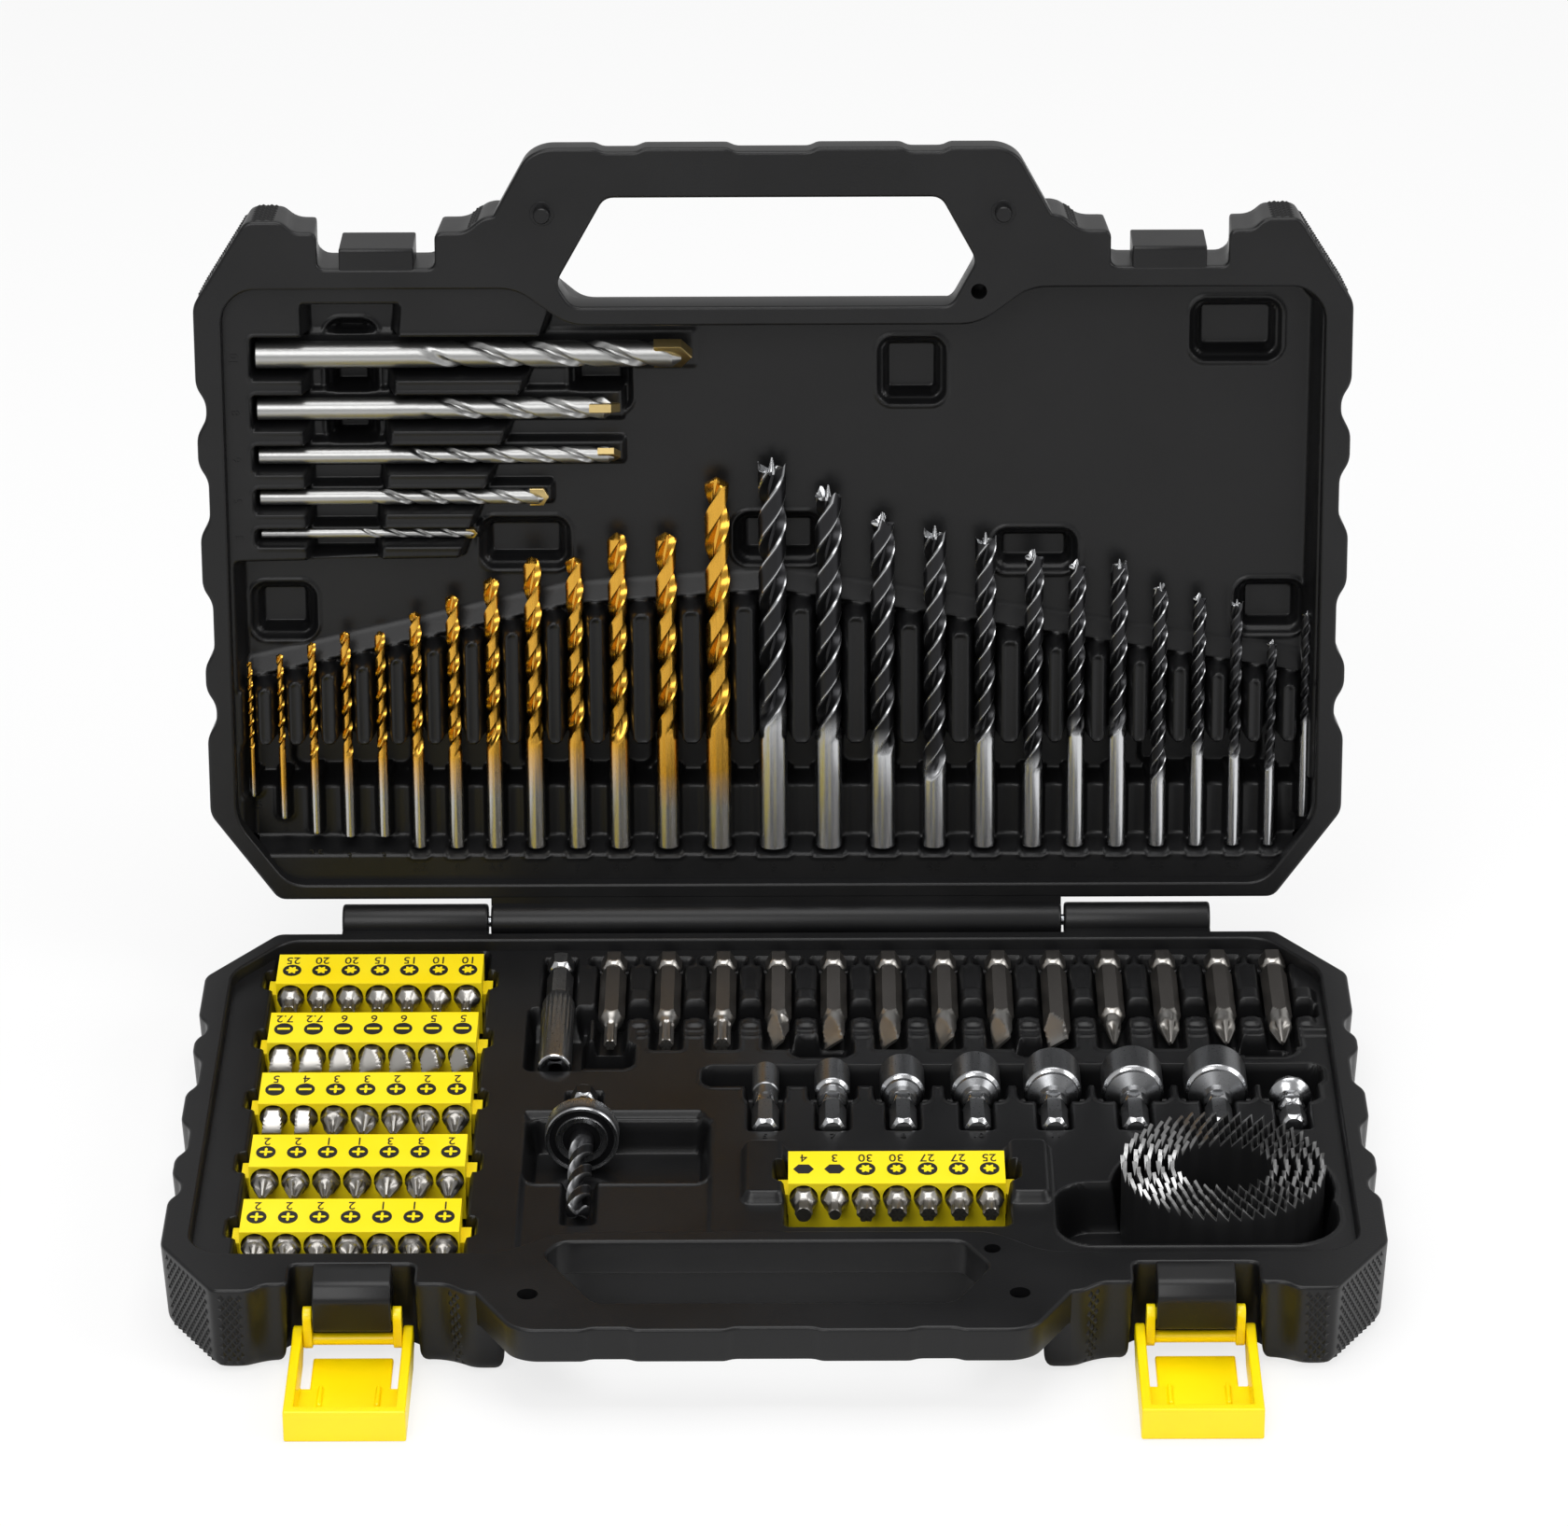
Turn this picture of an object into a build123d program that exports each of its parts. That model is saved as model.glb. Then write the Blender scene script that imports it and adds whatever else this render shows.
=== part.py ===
"""Drill bit case: two hinged shells that hold a full set of bits, drivers and hole saws.

Frame: X to the right, Y to the back, Z up. The origin is on the case's underside, in the middle.
Both shells are drawn on their own rim plane, whose origin lies on the hinge axis:
u runs to the right, v away from the hinge, and depths are measured from the rim into the shell.
"""
import os
from math import cos, radians, sin

from build123d import *

os.makedirs("parts", exist_ok=True)

# ---- Driving dimensions, in millimetres and degrees ----

# Shells
half_width = 158.5
shell_depth = 25.0
hinge_y = 115.0
rear_wall_v = 6.5
front_v = 203.0
handle_v = 224.0
open_angle = 96.27
outer_radius = 3.0
grip_notch = 2.7
grip_notch_ends = [(55.0, 69.0), (76.0, 99.0), (114.0, 134.5), (143.0, 157.0)]
notch_slope = 4.5
lip_half_width = 151.0
lip_front_v = 184.5
lip_handle_v = 174.0
lip_rear_v = 11.0
land_depth = 3.5
running_gap = 0.3
rim_gap = 0.15

# Carrying handle, the same on both shells
handle_depth = 10.0
handle_half_width = 62.0
handle_root_v = 188.0
handle_hole = [(-45.7, 210.0), (45.7, 210.0), (55.5, 192.0), (48.6, 179.4), (-55.0, 179.4), (-59.2, 186.0)]
handle_hole_corner = 2.0
hang_hole_u, hang_hole_v, hang_hole_radius = 56.2, 183.5, 2.2
pin_u, pin_v = 62.7, 205.8
pin_radius, pin_height = 2.3, 3.0

# Hinge
barrel_radius = 5.0
hinge_pin_radius = 1.55
shaft_clearance = 0.05
lid_knuckle_half_length = 80.2
knuckle_end_gap = 0.8
base_knuckle_end = 122.0

# Latches
latch_u = 108.1
bay_gap = 0.5
bay_root_v = 190.4
tab_half_width = 10.1
tab_front_v = 200.8
tab_bottom_depth = 14.5
keeper_v = 196.0
keeper_depth = 18.2
peg_v, peg_depth, peg_radius = 197.6, 11.2, 1.5
bar_v, bar_depth, bar_radius = 196.6, 18.7, 1.6
prong_width, prong_radius = 2.3, 2.4
arm_width, arm_radius = 2.6, 3.4
skin_outer, skin_inner = 6.2, 4.5
lip_reach = 2.6
hook_wall = 3.0
tongue_end, tongue_half_width = 17.0, 10.3
lever_gap = 0.2

# Drill bits in the lid
bit_axis_depth = 8.0
bit_floor_depth = 14.0
ledge_depth = 10.0
trough_depth = 19.0
well_depth = 20.5
bit_tail_v = 19.5
shelf_v = 37.5
pad_bottom_v = 54.8
middle_bit_u = -0.6
coarse_gap, fine_gap, coarse_size = 7.8, 6.7, 6.0
middle_bit = 8.0
twist_sizes = [7, 6, 5.5, 5, 5, 4.5, 4, 3.5, 3, 3, 2.5, 2, 1.5]
twist_length = {1.5: 40, 2: 49, 2.5: 57, 3: 61, 3.5: 70, 4: 75, 4.5: 80, 5: 86, 5.5: 93, 6: 93, 7: 109}
twist_tail_rise = {3: 3.3, 2.5: 4.1, 2: 8.7, 1.5: 15.4}
brad_sizes = [8, 7.5, 7, 6.5, 6, 5.5, 5, 5, 4.5, 4, 3.5, 3, 3]
brad_length = {3: 61, 3.5: 73, 4: 75, 4.5: 78, 5: 85, 5.5: 88, 6: 93, 6.5: 95, 7: 99, 7.5: 107, 8: 115}
last_brad_rise = 8.5
masonry_length = {10: 120, 8: 100, 6: 100, 5: 80, 3: 60}
masonry_tail_u, masonry_top_v, masonry_gap = -142.3, 164.0, 6.5
platform_right_u, platform_v = -86.5, (106.0, 181.5)

# Drivers, holders and saws in the base
hex_across = 6.35
small_axis_depth = 4.0
power_bit_count, power_bit_pitch, power_bit_length = 13, 15.3, 50.0
first_power_u, power_tail_v, power_axis_depth = -45.2, 17.0, 3.5
star_power_bits, slotted_power_bits = 3, 6
socket_diameters = [7.3, 9.6, 12.0, 13.4, 15.5, 16.6, 17.0]
socket_bores = [5.0, 7.0, 8.0, 10.0, 11.0, 12.0, 13.0]
socket_pitch, socket_pitch_step = 18.0, 0.9
first_socket_u, socket_v, socket_length, driver_length = -2.6, 82.0, 15.0, 32.0
countersink_u, countersink_radius, countersink_length = 138.6, 5.7, 25.0
holder_u, holder_length, holder_sleeve_length, holder_radius = -60.0, 63.0, 40.0, 4.6
holder_socket_depth, magnet_radius, magnet_height = 10.0, 3.0, 3.0
bar_width, bar_length, bar_height = 57.0, 17.3, 16.0
bar_ear, bar_ear_length, bar_ear_depths = 2.6, 8.0, (6.0, 12.0)
bar_count, bar_pitch, bar_u, first_bar_v = 5, 34.3, -110.0, 19.7
bar_pocket_rear_v = 12.5
front_bar_u, front_bar_v = 32.1, 132.5
insert_count, insert_pitch, insert_length, insert_hole = 7, 8.15, 25.0, 16.3
insert_axis_depth = 4.3
arbor_u, arbor_flange_v, arbor_flange_radius, arbor_axis_depth = -51.4, 120.0, 10.0, 3.5
arbor_flange, arbor_collar, arbor_shank, pilot_length = 6.0, 6.0, 14.0, 40.0
arbor_collar_across = 12.0
pilot_radius = 3.2
saw_u, saw_v, saw_count, saw_outer_radius, saw_step = 117.6, 146.8, 5, 26.7, 3.1
saw_wall, saw_height, saw_stand = 1.2, 25.0, 5.0
saw_floor_depth = 17.0

# ---- Frames worked out from them ----

lean = radians(open_angle - 90)
hinge_origin = (0, hinge_y, shell_depth)
lid_up = (0, sin(lean), cos(lean))
lid_back = (0, cos(lean), -sin(lean))
base_rim = Plane(origin=hinge_origin, x_dir=(1, 0, 0), z_dir=(0, 0, 1))
lid_rim = Plane(origin=hinge_origin, x_dir=(1, 0, 0), z_dir=(0, -cos(lean), sin(lean)))
base_side = Plane(origin=hinge_origin, x_dir=(0, 0, -1), z_dir=(1, 0, 0))
lid_side = Plane(origin=hinge_origin, x_dir=lid_back, z_dir=(1, 0, 0))
LID, BASE = 1, -1
hex_radius = hex_across / 2 / cos(radians(30))
prong_inner = tab_half_width + running_gap
arm_inner = prong_inner + prong_width + lever_gap
arm_outer = arm_inner + arm_width
bay_half_width = arm_outer + bay_gap


def rim_of(side):
    return lid_rim if side == LID else base_rim


def side_of(side):
    return lid_side if side == LID else base_side


# ---- Helpers: each works in the part that is being built ----


def plan_polygon(side, points, top, bottom, mode, corner=0.0):
    """Add or cut the plan (u, v) of a shell between two depths below its rim."""
    with BuildSketch(rim_of(side).offset(-top)) as plan:
        with BuildLine():
            Polyline([(u, side * v) for u, v in points], close=True)
        make_face()
        if corner:
            fillet(plan.vertices(), radius=corner)
    extrude(plan.sketch, amount=top - bottom, mode=mode)


def plan_box(side, u_range, v_range, top, bottom, mode=Mode.SUBTRACT, corner=0.0):
    """Add or cut a box given by its reach along u and v and two depths below the rim."""
    middle = ((u_range[0] + u_range[1]) / 2, side * (v_range[0] + v_range[1]) / 2)
    width, length = u_range[1] - u_range[0], v_range[1] - v_range[0]
    with BuildSketch(rim_of(side).offset(-top)) as plan:
        with Locations(middle):
            if corner:
                RectangleRounded(width, length, corner)
            else:
                Rectangle(width, length)
    extrude(plan.sketch, amount=top - bottom, mode=mode)


def plan_disc(side, u, v, radius, top, bottom, mode=Mode.SUBTRACT):
    """Add or cut a disc that stands square to the rim."""
    with BuildSketch(rim_of(side).offset(-top)) as plan:
        with Locations((u, side * v)):
            Circle(radius)
    extrude(plan.sketch, amount=top - bottom, mode=mode)


def side_polygon(side, points, u_range, mode=Mode.ADD):
    """Add or cut a profile (depth, v) seen from the side, between two places along u."""
    with BuildSketch(side_of(side).offset(u_range[0])) as profile:
        with BuildLine():
            Polyline([(depth, side * v) for depth, v in points], close=True)
        make_face()
    extrude(profile.sketch, amount=u_range[1] - u_range[0], mode=mode)


def side_disc(side, depth, v, radius, u_range, mode=Mode.ADD):
    """Add or cut a round bar that runs along u."""
    with BuildSketch(side_of(side).offset(u_range[0])) as profile:
        with Locations((depth, side * v)):
            Circle(radius)
    extrude(profile.sketch, amount=u_range[1] - u_range[0], mode=mode)


def turned(side, u, v, depth, profile, along_u=False):
    """Turn a profile of (distance, radius) steps about an axis that leaves (u, v) along v or u."""
    plane = rim_of(side).offset(-depth)
    if along_u:
        points = [(u + step, side * (v + radius)) for step, radius in profile]
        heading = plane.x_dir
    else:
        points = [(u + radius, side * (v + step)) for step, radius in profile]
        heading = plane.y_dir
    with BuildSketch(plane) as half:
        with BuildLine():
            Polyline(points, close=True)
        make_face()
    revolve(half.sketch, axis=Axis(plane.from_local_coords((u, side * v, 0)), heading))


def hexagon(side, u, v_range, depth, radius, mode=Mode.ADD):
    """Add or cut a hexagonal bar along v with one corner on top."""
    start = rim_of(side).from_local_coords((u, side * v_range[0], -depth))
    heading = rim_of(side).y_dir * side
    with BuildSketch(Plane(origin=start, x_dir=rim_of(side).z_dir, z_dir=heading)) as section:
        RegularPolygon(radius, 6)
    extrude(section.sketch, amount=v_range[1] - v_range[0], mode=mode)


def bit_slot(side, u, v_range, depth, radius):
    """Cut the open slot that a bit of this radius lies in, down to its underside."""
    reach = radius + running_gap
    plan_box(side, (u - reach, u + reach), v_range, 0, depth + reach)


def keep(part, name):
    """Label a finished piece and write it as parts/name.step."""
    part.label = name
    export_step(part, f"parts/{name}.step")


def size_name(size):
    return f"{size:g}".replace(".", "_") + "mm"


# ---- Ground plans of the shells ----


def grip_side():
    """The right-hand edge from the rear corner to the front one, with its grip notches."""
    points = [(140.0, rear_wall_v), (half_width, 32.0)]
    for start, end in grip_notch_ends:
        points += [
            (half_width, start),
            (half_width - grip_notch, start + notch_slope),
            (half_width - grip_notch, end - notch_slope),
            (half_width, end),
        ]
    return points + [(half_width, 180.0), (143.5, front_v + 0.8)]


def outer_plan():
    """The whole outline: rear edge, notched sides, front corners and the handle."""
    right = grip_side() + [
        (133.5, front_v + 0.8),
        (130.5, front_v - 2.4),
        (84.0, front_v - 2.4),
        (79.0, front_v + 1.6),
        (76.0, front_v + 2.2),
        (handle_half_width + 5.0, handle_v - 2.5),
        (handle_half_width, handle_v),
    ]
    return right + [(-u, v) for u, v in reversed(right)]


def lip_plan():
    """The step inside the rim, which dips behind the handle."""
    right = [
        (137.0, lip_rear_v),
        (lip_half_width, lip_rear_v + 19.0),
        (lip_half_width, lip_front_v - 6.0),
        (lip_half_width - 6.0, lip_front_v),
        (70.0, lip_front_v),
        (56.0, lip_handle_v),
    ]
    return right + [(-u, v) for u, v in reversed(right)]


def shell_body(side):
    """A shell with its outline, lip, handle and latch bays, before anything is let into it."""
    rim = rim_of(side)
    plan_polygon(side, outer_plan(), rim_gap, shell_depth, Mode.ADD)
    back = faces().sort_by(Axis(rim.origin, rim.z_dir))[0]
    fillet(back.edges(), radius=outer_radius)
    plan_polygon(side, lip_plan(), 0, land_depth, Mode.SUBTRACT)
    handle_reach = handle_half_width + 6.0
    plan_box(side, (-handle_reach, handle_reach), (handle_root_v, handle_v + 1), handle_depth, shell_depth)
    shoulder_reach = handle_half_width + 20.0
    plan_box(side, (-shoulder_reach, shoulder_reach), (front_v + 2.2, handle_v + 1), handle_depth, shell_depth)
    plan_polygon(side, handle_hole, 0, shell_depth, Mode.SUBTRACT, handle_hole_corner)
    plan_disc(side, hang_hole_u, hang_hole_v, hang_hole_radius, 0, shell_depth)
    for centre in (-latch_u, latch_u):
        bay = (centre - bay_half_width, centre + bay_half_width)
        plan_box(side, bay, (bay_root_v, handle_v), 0, shell_depth)


def add_tab(side, profile):
    """The keeper tab in each latch bay, from its profile of (depth, v)."""
    for centre in (-latch_u, latch_u):
        side_polygon(side, profile, (centre - tab_half_width, centre + tab_half_width))


def add_knuckle(side, u_range, heel=False):
    """A hinge barrel on a short web; the base's ones carry the heel that stops the lid."""
    side_disc(side, 0, 0, barrel_radius, u_range)
    web = [(0, 0), (barrel_radius, 0), (barrel_radius, rear_wall_v + 1), (0, rear_wall_v + 1)]
    side_polygon(side, web, u_range)
    if heel:
        heel_top = rear_wall_v - running_gap
        side_polygon(LID, [(0.5, 0), (4.5, 0), (4.5, heel_top), (0.5, heel_top)], u_range)


def bore_knuckle(side, u_range):
    side_disc(side, 0, 0, hinge_pin_radius + shaft_clearance, u_range, Mode.SUBTRACT)


# ---- Where the drill bits lie ----


def bit_row(sizes, direction):
    """Places (size, u) of a row that starts beside the middle bit: wider gaps between coarse bits."""
    places, u, last = [], middle_bit_u, middle_bit
    for size in sizes:
        gap = coarse_gap if max(size, last) >= coarse_size else fine_gap
        u += direction * (gap + (size + last) / 2)
        places.append((size, u))
        last = size
    return places


twist_places = [
    (size, u, bit_tail_v + twist_tail_rise.get(size, 0), twist_length[size])
    for size, u in bit_row(twist_sizes, -1)
]
brad_places = [
    (size, u, bit_tail_v, brad_length[size])
    for size, u in [(middle_bit, middle_bit_u)] + bit_row(brad_sizes[1:], 1)
]
raised = brad_places[-1]
brad_places[-1] = (raised[0], raised[1], raised[2] + last_brad_rise, raised[3])

masonry_places, row_v, last_size = [], masonry_top_v, None
for size, length in masonry_length.items():
    if last_size:
        row_v -= masonry_gap + (size + last_size) / 2
    masonry_places.append((size, row_v, length))
    last_size = size

socket_places, row_u = [], first_socket_u
for i, size in enumerate(socket_diameters):
    socket_places.append((size, row_u))
    row_u += socket_pitch + socket_pitch_step * i

bar_places = [(bar_u, first_bar_v + bar_pitch * i) for i in range(bar_count)]
bar_places.append((front_bar_u, front_bar_v))
power_places = [first_power_u + power_bit_pitch * i for i in range(power_bit_count)]

# ---- Lid shell ----

envelope = [(-150.0, 74.0), (-57.0, 96.0), (0.0, 100.0), (32.0, 95.0), (150.0, 75.0)]
pad_margin = 7.0
lid_wells = [
    ((-123.0, -109.5), (137.0, 172.0)),
    ((-56.0, -39.5), (146.0, 162.0)),
    ((29.0, 47.2), (148.0, 166.2)),
    ((115.2, 139.4), (160.2, 176.8)),
    ((-81.5, -57.2), (100.5, 114.6)),
    ((-145.7, -128.4), (80.0, 95.8)),
    ((-10.8, 13.0), (101.5, 115.7)),
    ((61.0, 83.7), (99.0, 110.8)),
    ((128.7, 147.3), (80.5, 95.6)),
]
trough_wells = [(-136.0, -102.3), (-71.0, -34.4), (18.2, 33.9), (102.6, 136.4)]

with BuildPart() as lid_shell:
    shell_body(LID)
    floor_plan = envelope + [
        (150.0, 178.0),
        (146.0, 182.5),
        (70.0, 182.5),
        (55.0, 172.0),
        (-55.0, 172.0),
        (-60.0, platform_v[1]),
        (platform_right_u, platform_v[0]),
        (-150.0, platform_v[0]),
    ]
    plan_polygon(LID, floor_plan, 0, bit_floor_depth, Mode.SUBTRACT)
    ledge_plan = envelope + [(u, v - pad_margin) for u, v in reversed(envelope)]
    plan_polygon(LID, ledge_plan, 0, ledge_depth, Mode.SUBTRACT)
    plan_box(LID, (-127.5, -107.0), (104.0, platform_v[1]), 0, bit_floor_depth, corner=3.0)
    plan_box(LID, (-150.0, 150.0), (shelf_v, pad_bottom_v), 0, trough_depth)
    for u_range, v_range in lid_wells:
        plan_box(LID, u_range, v_range, bit_floor_depth, well_depth, corner=4.0)
    for u_range in trough_wells:
        plan_box(LID, u_range, (38.5, 51.0), trough_depth, well_depth, corner=4.0)
    for size, u, tail, length in twist_places + brad_places:
        bit_slot(LID, u, (tail - running_gap, tail + length + 1), bit_axis_depth, size / 2)
    for size, v, length in masonry_places:
        reach = size / 2 + running_gap
        slot = (masonry_tail_u - running_gap, masonry_tail_u + length + 1)
        plan_box(LID, slot, (v - reach, v + reach), 0, bit_axis_depth + reach)
    keeper = [(0, bay_root_v - 1), (0, keeper_v), (keeper_depth, keeper_v), (keeper_depth, bay_root_v - 1)]
    add_tab(LID, keeper)
    lid_knuckle = (-lid_knuckle_half_length, lid_knuckle_half_length)
    add_knuckle(LID, lid_knuckle)
    bore_knuckle(LID, lid_knuckle)
    for u in (-pin_u, pin_u):
        plan_disc(LID, u, pin_v, pin_radius, -pin_height, 1, Mode.ADD)
keep(lid_shell.part, "lid_shell")

# ---- Base shell ----

saw_pocket_radius = saw_outer_radius + 1.2
base_wells = [
    ((-54.5, -39.0), (66.0, 79.9), 16.0),
    ((5.0, 20.7), (63.0, 74.0), 16.0),
    ((66.0, 76.0), (65.0, 74.0), 16.0),
    ((126.2, 141.0), (64.0, 74.0), 16.0),
]
clamp_reach = 11.5

with BuildPart() as base_shell:
    shell_body(BASE)
    pocket = (bar_u - bar_width / 2 - running_gap, bar_u + bar_width / 2 + running_gap)
    insert_reach = insert_length - insert_hole + 2 * running_gap
    last_front = first_bar_v + bar_pitch * (bar_count - 1) + bar_length
    pocket_v = (bar_pocket_rear_v, last_front + insert_reach)
    plan_box(BASE, pocket, pocket_v, 0, bar_height + running_gap, corner=1.5)
    front_pocket = (front_bar_u - bar_width / 2 - running_gap, front_bar_u + bar_width / 2 + running_gap)
    front_reach = (front_bar_v - running_gap, front_bar_v + bar_length + 14.0)
    for clamp_u in (front_pocket[0] - clamp_reach, front_pocket[1]):
        clamp = (clamp_u, clamp_u + clamp_reach)
        plan_box(BASE, clamp, (front_bar_v - 9.0, front_bar_v + 21.0), -0.8, land_depth, Mode.ADD, 2.0)
    plan_box(BASE, front_pocket, front_reach, 0, bar_height + running_gap)
    ear_reach = bar_width / 2 + bar_ear + running_gap
    for u, v in bar_places:
        middle = v + bar_length / 2
        ear_length = bar_ear_length / 2 + running_gap
        plan_box(
            BASE, (u - ear_reach, u + ear_reach), (middle - ear_length, middle + ear_length),
            -1, bar_ear_depths[1] + running_gap,
        )
    plan_box(BASE, (-54.0, 148.0), (44.0, 49.0), 0, 12.0)
    plan_box(BASE, (-38.0, 148.0), (57.0, 80.0), 0, 8.5)
    for u_range, v_range, depth in base_wells:
        plan_box(BASE, u_range, v_range, 0, depth, corner=3.0)
    for u in power_places:
        slot = (power_tail_v - running_gap, power_tail_v + power_bit_length + 2)
        bit_slot(BASE, u, slot, power_axis_depth, hex_radius)
    plan_box(BASE, (-17.0, 147.0), (80.0, 100.0), 0, 13.2, corner=3.0)
    for diameter, u in socket_places:
        bit_slot(BASE, u, (99.0, socket_v + driver_length + running_gap), small_axis_depth, hex_radius)
    slot = (99.0, socket_v + 6 + countersink_length + running_gap)
    bit_slot(BASE, countersink_u, slot, small_axis_depth, hex_radius)
    sleeve_v = power_tail_v + holder_length - holder_sleeve_length
    bit_slot(BASE, holder_u, (power_tail_v - running_gap, sleeve_v + 1), small_axis_depth, hex_radius)
    bit_slot(BASE, holder_u, (sleeve_v - running_gap, 88.0), small_axis_depth, holder_radius)
    shank_v = arbor_flange_v - arbor_flange - arbor_collar - arbor_shank
    bit_slot(BASE, arbor_u, (shank_v - running_gap, 110.0), arbor_axis_depth, hex_radius)
    arbor_floor = arbor_axis_depth + arbor_flange_radius + running_gap
    plan_box(BASE, (-65.0, -18.5), (107.5, 139.0), 0, arbor_floor, corner=3.0)
    bit_slot(BASE, arbor_u, (138.0, arbor_flange_v + pilot_length + 1), arbor_axis_depth, pilot_radius)
    plan_disc(BASE, saw_u, saw_v, saw_pocket_radius, 0, saw_floor_depth)
    plan_box(BASE, (saw_u - 28.0, saw_u + 28.0), (saw_v, 175.0), 0, saw_floor_depth, corner=4.0)
    plan_box(BASE, (74.5, saw_u - 20.0), (145.0, 175.0), 0, saw_floor_depth, corner=9.0)
    saw_foot = saw_height - saw_stand + running_gap
    for i in range(saw_count):
        radius = saw_outer_radius - saw_step * i
        with BuildSketch(base_rim.offset(-saw_floor_depth)) as groove:
            with Locations((saw_u, -saw_v)):
                Circle(radius + running_gap)
                Circle(radius - saw_wall - running_gap, mode=Mode.SUBTRACT)
        extrude(groove.sketch, amount=saw_floor_depth - saw_foot, mode=Mode.SUBTRACT)
    tab = [
        (0, bay_root_v - 1), (0, 191.4), (1.4, 198.0), (5.0, tab_front_v),
        (tab_bottom_depth, tab_front_v), (tab_bottom_depth, bay_root_v - 1),
    ]
    add_tab(BASE, tab)
    for centre in (-latch_u, latch_u):
        for end in (-1, 1):
            reach = sorted((centre + end * tab_half_width, centre + end * 7.0))
            side_disc(BASE, peg_depth, peg_v, peg_radius + shaft_clearance, reach, Mode.SUBTRACT)
    inner_end = lid_knuckle_half_length + knuckle_end_gap
    for knuckle in ((-base_knuckle_end, -inner_end), (inner_end, base_knuckle_end)):
        add_knuckle(BASE, knuckle, heel=True)
        bore_knuckle(BASE, knuckle)
    for u in (-pin_u, pin_u):
        plan_disc(BASE, u, pin_v, pin_radius + 0.4, 0, pin_height + 1.5)
keep(base_shell.part, "base_shell")

# ---- Hinge pin and latches ----

with BuildPart() as hinge_pin:
    side_disc(BASE, 0, 0, hinge_pin_radius, (-base_knuckle_end + 0.5, base_knuckle_end - 0.5))
keep(hinge_pin.part, "hinge_pin")


def latch_point(along, inward):
    """A point of the lever as (depth, v): along it from its pivot, and towards its inner side."""
    return (bar_depth - inward, bar_v + along)


def latch_block(centre, half, along, inward, mode=Mode.ADD):
    """A block of the lever across its whole width, or between -half and half."""
    corners = [(along[0], inward[0]), (along[1], inward[0]), (along[1], inward[1]), (along[0], inward[1])]
    side_polygon(BASE, [latch_point(a, i) for a, i in corners], (centre - half, centre + half), mode)


hook_inner = keeper_depth + bar_depth + running_gap
lever_length = hook_inner + hook_wall

for hand, centre in (("left", -latch_u), ("right", latch_u)):
    with BuildPart() as latch_link:
        side_disc(BASE, bar_depth, bar_v, bar_radius, (centre - arm_outer + 0.2, centre + arm_outer - 0.2))
        for end in (-1, 1):
            prong = sorted((centre + end * prong_inner, centre + end * (prong_inner + prong_width)))
            peg = sorted((centre + end * 7.4, centre + end * (prong_inner + 0.1)))
            side_disc(BASE, peg_depth, peg_v, prong_radius, prong)
            side_disc(BASE, bar_depth, bar_v, prong_radius, prong)
            web = [
                (peg_depth, peg_v - prong_radius), (peg_depth, peg_v + prong_radius),
                (bar_depth, bar_v + prong_radius), (bar_depth, bar_v - prong_radius),
            ]
            side_polygon(BASE, web, prong)
            side_disc(BASE, peg_depth, peg_v, peg_radius, peg)
    keep(latch_link.part, f"latch_link_{hand}")

    with BuildPart() as latch_lever:
        for end in (-1, 1):
            arm = sorted((centre + end * arm_inner, centre + end * arm_outer))
            side_disc(BASE, bar_depth, bar_v, arm_radius, arm)
            outline = [
                (0, arm_radius), (6, lip_reach), (lever_length, lip_reach), (lever_length, -skin_outer),
                (5, -skin_outer), (0, -arm_radius),
            ]
            side_polygon(BASE, [latch_point(a, i) for a, i in outline], arm)
            side_disc(BASE, bar_depth, bar_v, bar_radius + shaft_clearance, arm, Mode.SUBTRACT)
        latch_block(centre, arm_outer, (tongue_end, lever_length), (-skin_outer, -skin_inner))
        latch_block(centre, tongue_half_width, (2.0, tongue_end), (-skin_outer, -skin_inner))
        latch_block(centre, arm_outer, (hook_inner, lever_length), (-skin_outer, lip_reach))
        for rib in (-7.4, 7.4):
            latch_block(centre + rib, 0.6, (17.6, 27.0), (-skin_inner, -skin_inner + 1.4))
    keep(latch_lever.part, f"latch_lever_{hand}")

# ---- Drill bits ----


def twist_bit(size, u, tail, length):
    """A plain shank and body with a 118 degree point."""
    radius = size / 2
    turned(LID, u, tail, bit_axis_depth, [(0, 0), (0, radius), (length - 0.6 * radius, radius), (length, 0)])


def brad_bit(size, u, tail, length):
    """A shank and body that end in two spurs' rim and a centre point."""
    radius, spur = size / 2, 0.5 * size
    rim_end = length - spur
    steps = [(0, 0), (0, radius), (rim_end, radius), (rim_end - 0.2 * spur, 0.35 * radius), (length, 0)]
    turned(LID, u, tail, bit_axis_depth, steps)


for make_bit, places, kind in ((twist_bit, twist_places, "twist"), (brad_bit, brad_places, "brad_point")):
    for size in sorted({place[0] for place in places}):
        with BuildPart() as drill_bit:
            for place in places:
                if place[0] == size:
                    make_bit(*place)
        keep(drill_bit.part, f"{kind}_bit_{size_name(size)}")

for size, v, length in masonry_places:
    radius = size / 2
    body, tip = 0.86 * radius, max(0.9 * size, 4.0)
    steps = [
        (0, 0), (0, body), (length - tip, body), (length - tip, radius),
        (length - 0.5 * radius, radius), (length, 0),
    ]
    with BuildPart() as masonry_bit:
        turned(LID, masonry_tail_u, v, bit_axis_depth, steps, along_u=True)
    keep(masonry_bit.part, f"masonry_bit_{size_name(size)}")

# ---- Power bits, nut drivers, countersink and the magnetic holder ----

tip_length, tip_radius, blade = 11.0, 2.4, 1.0


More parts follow.
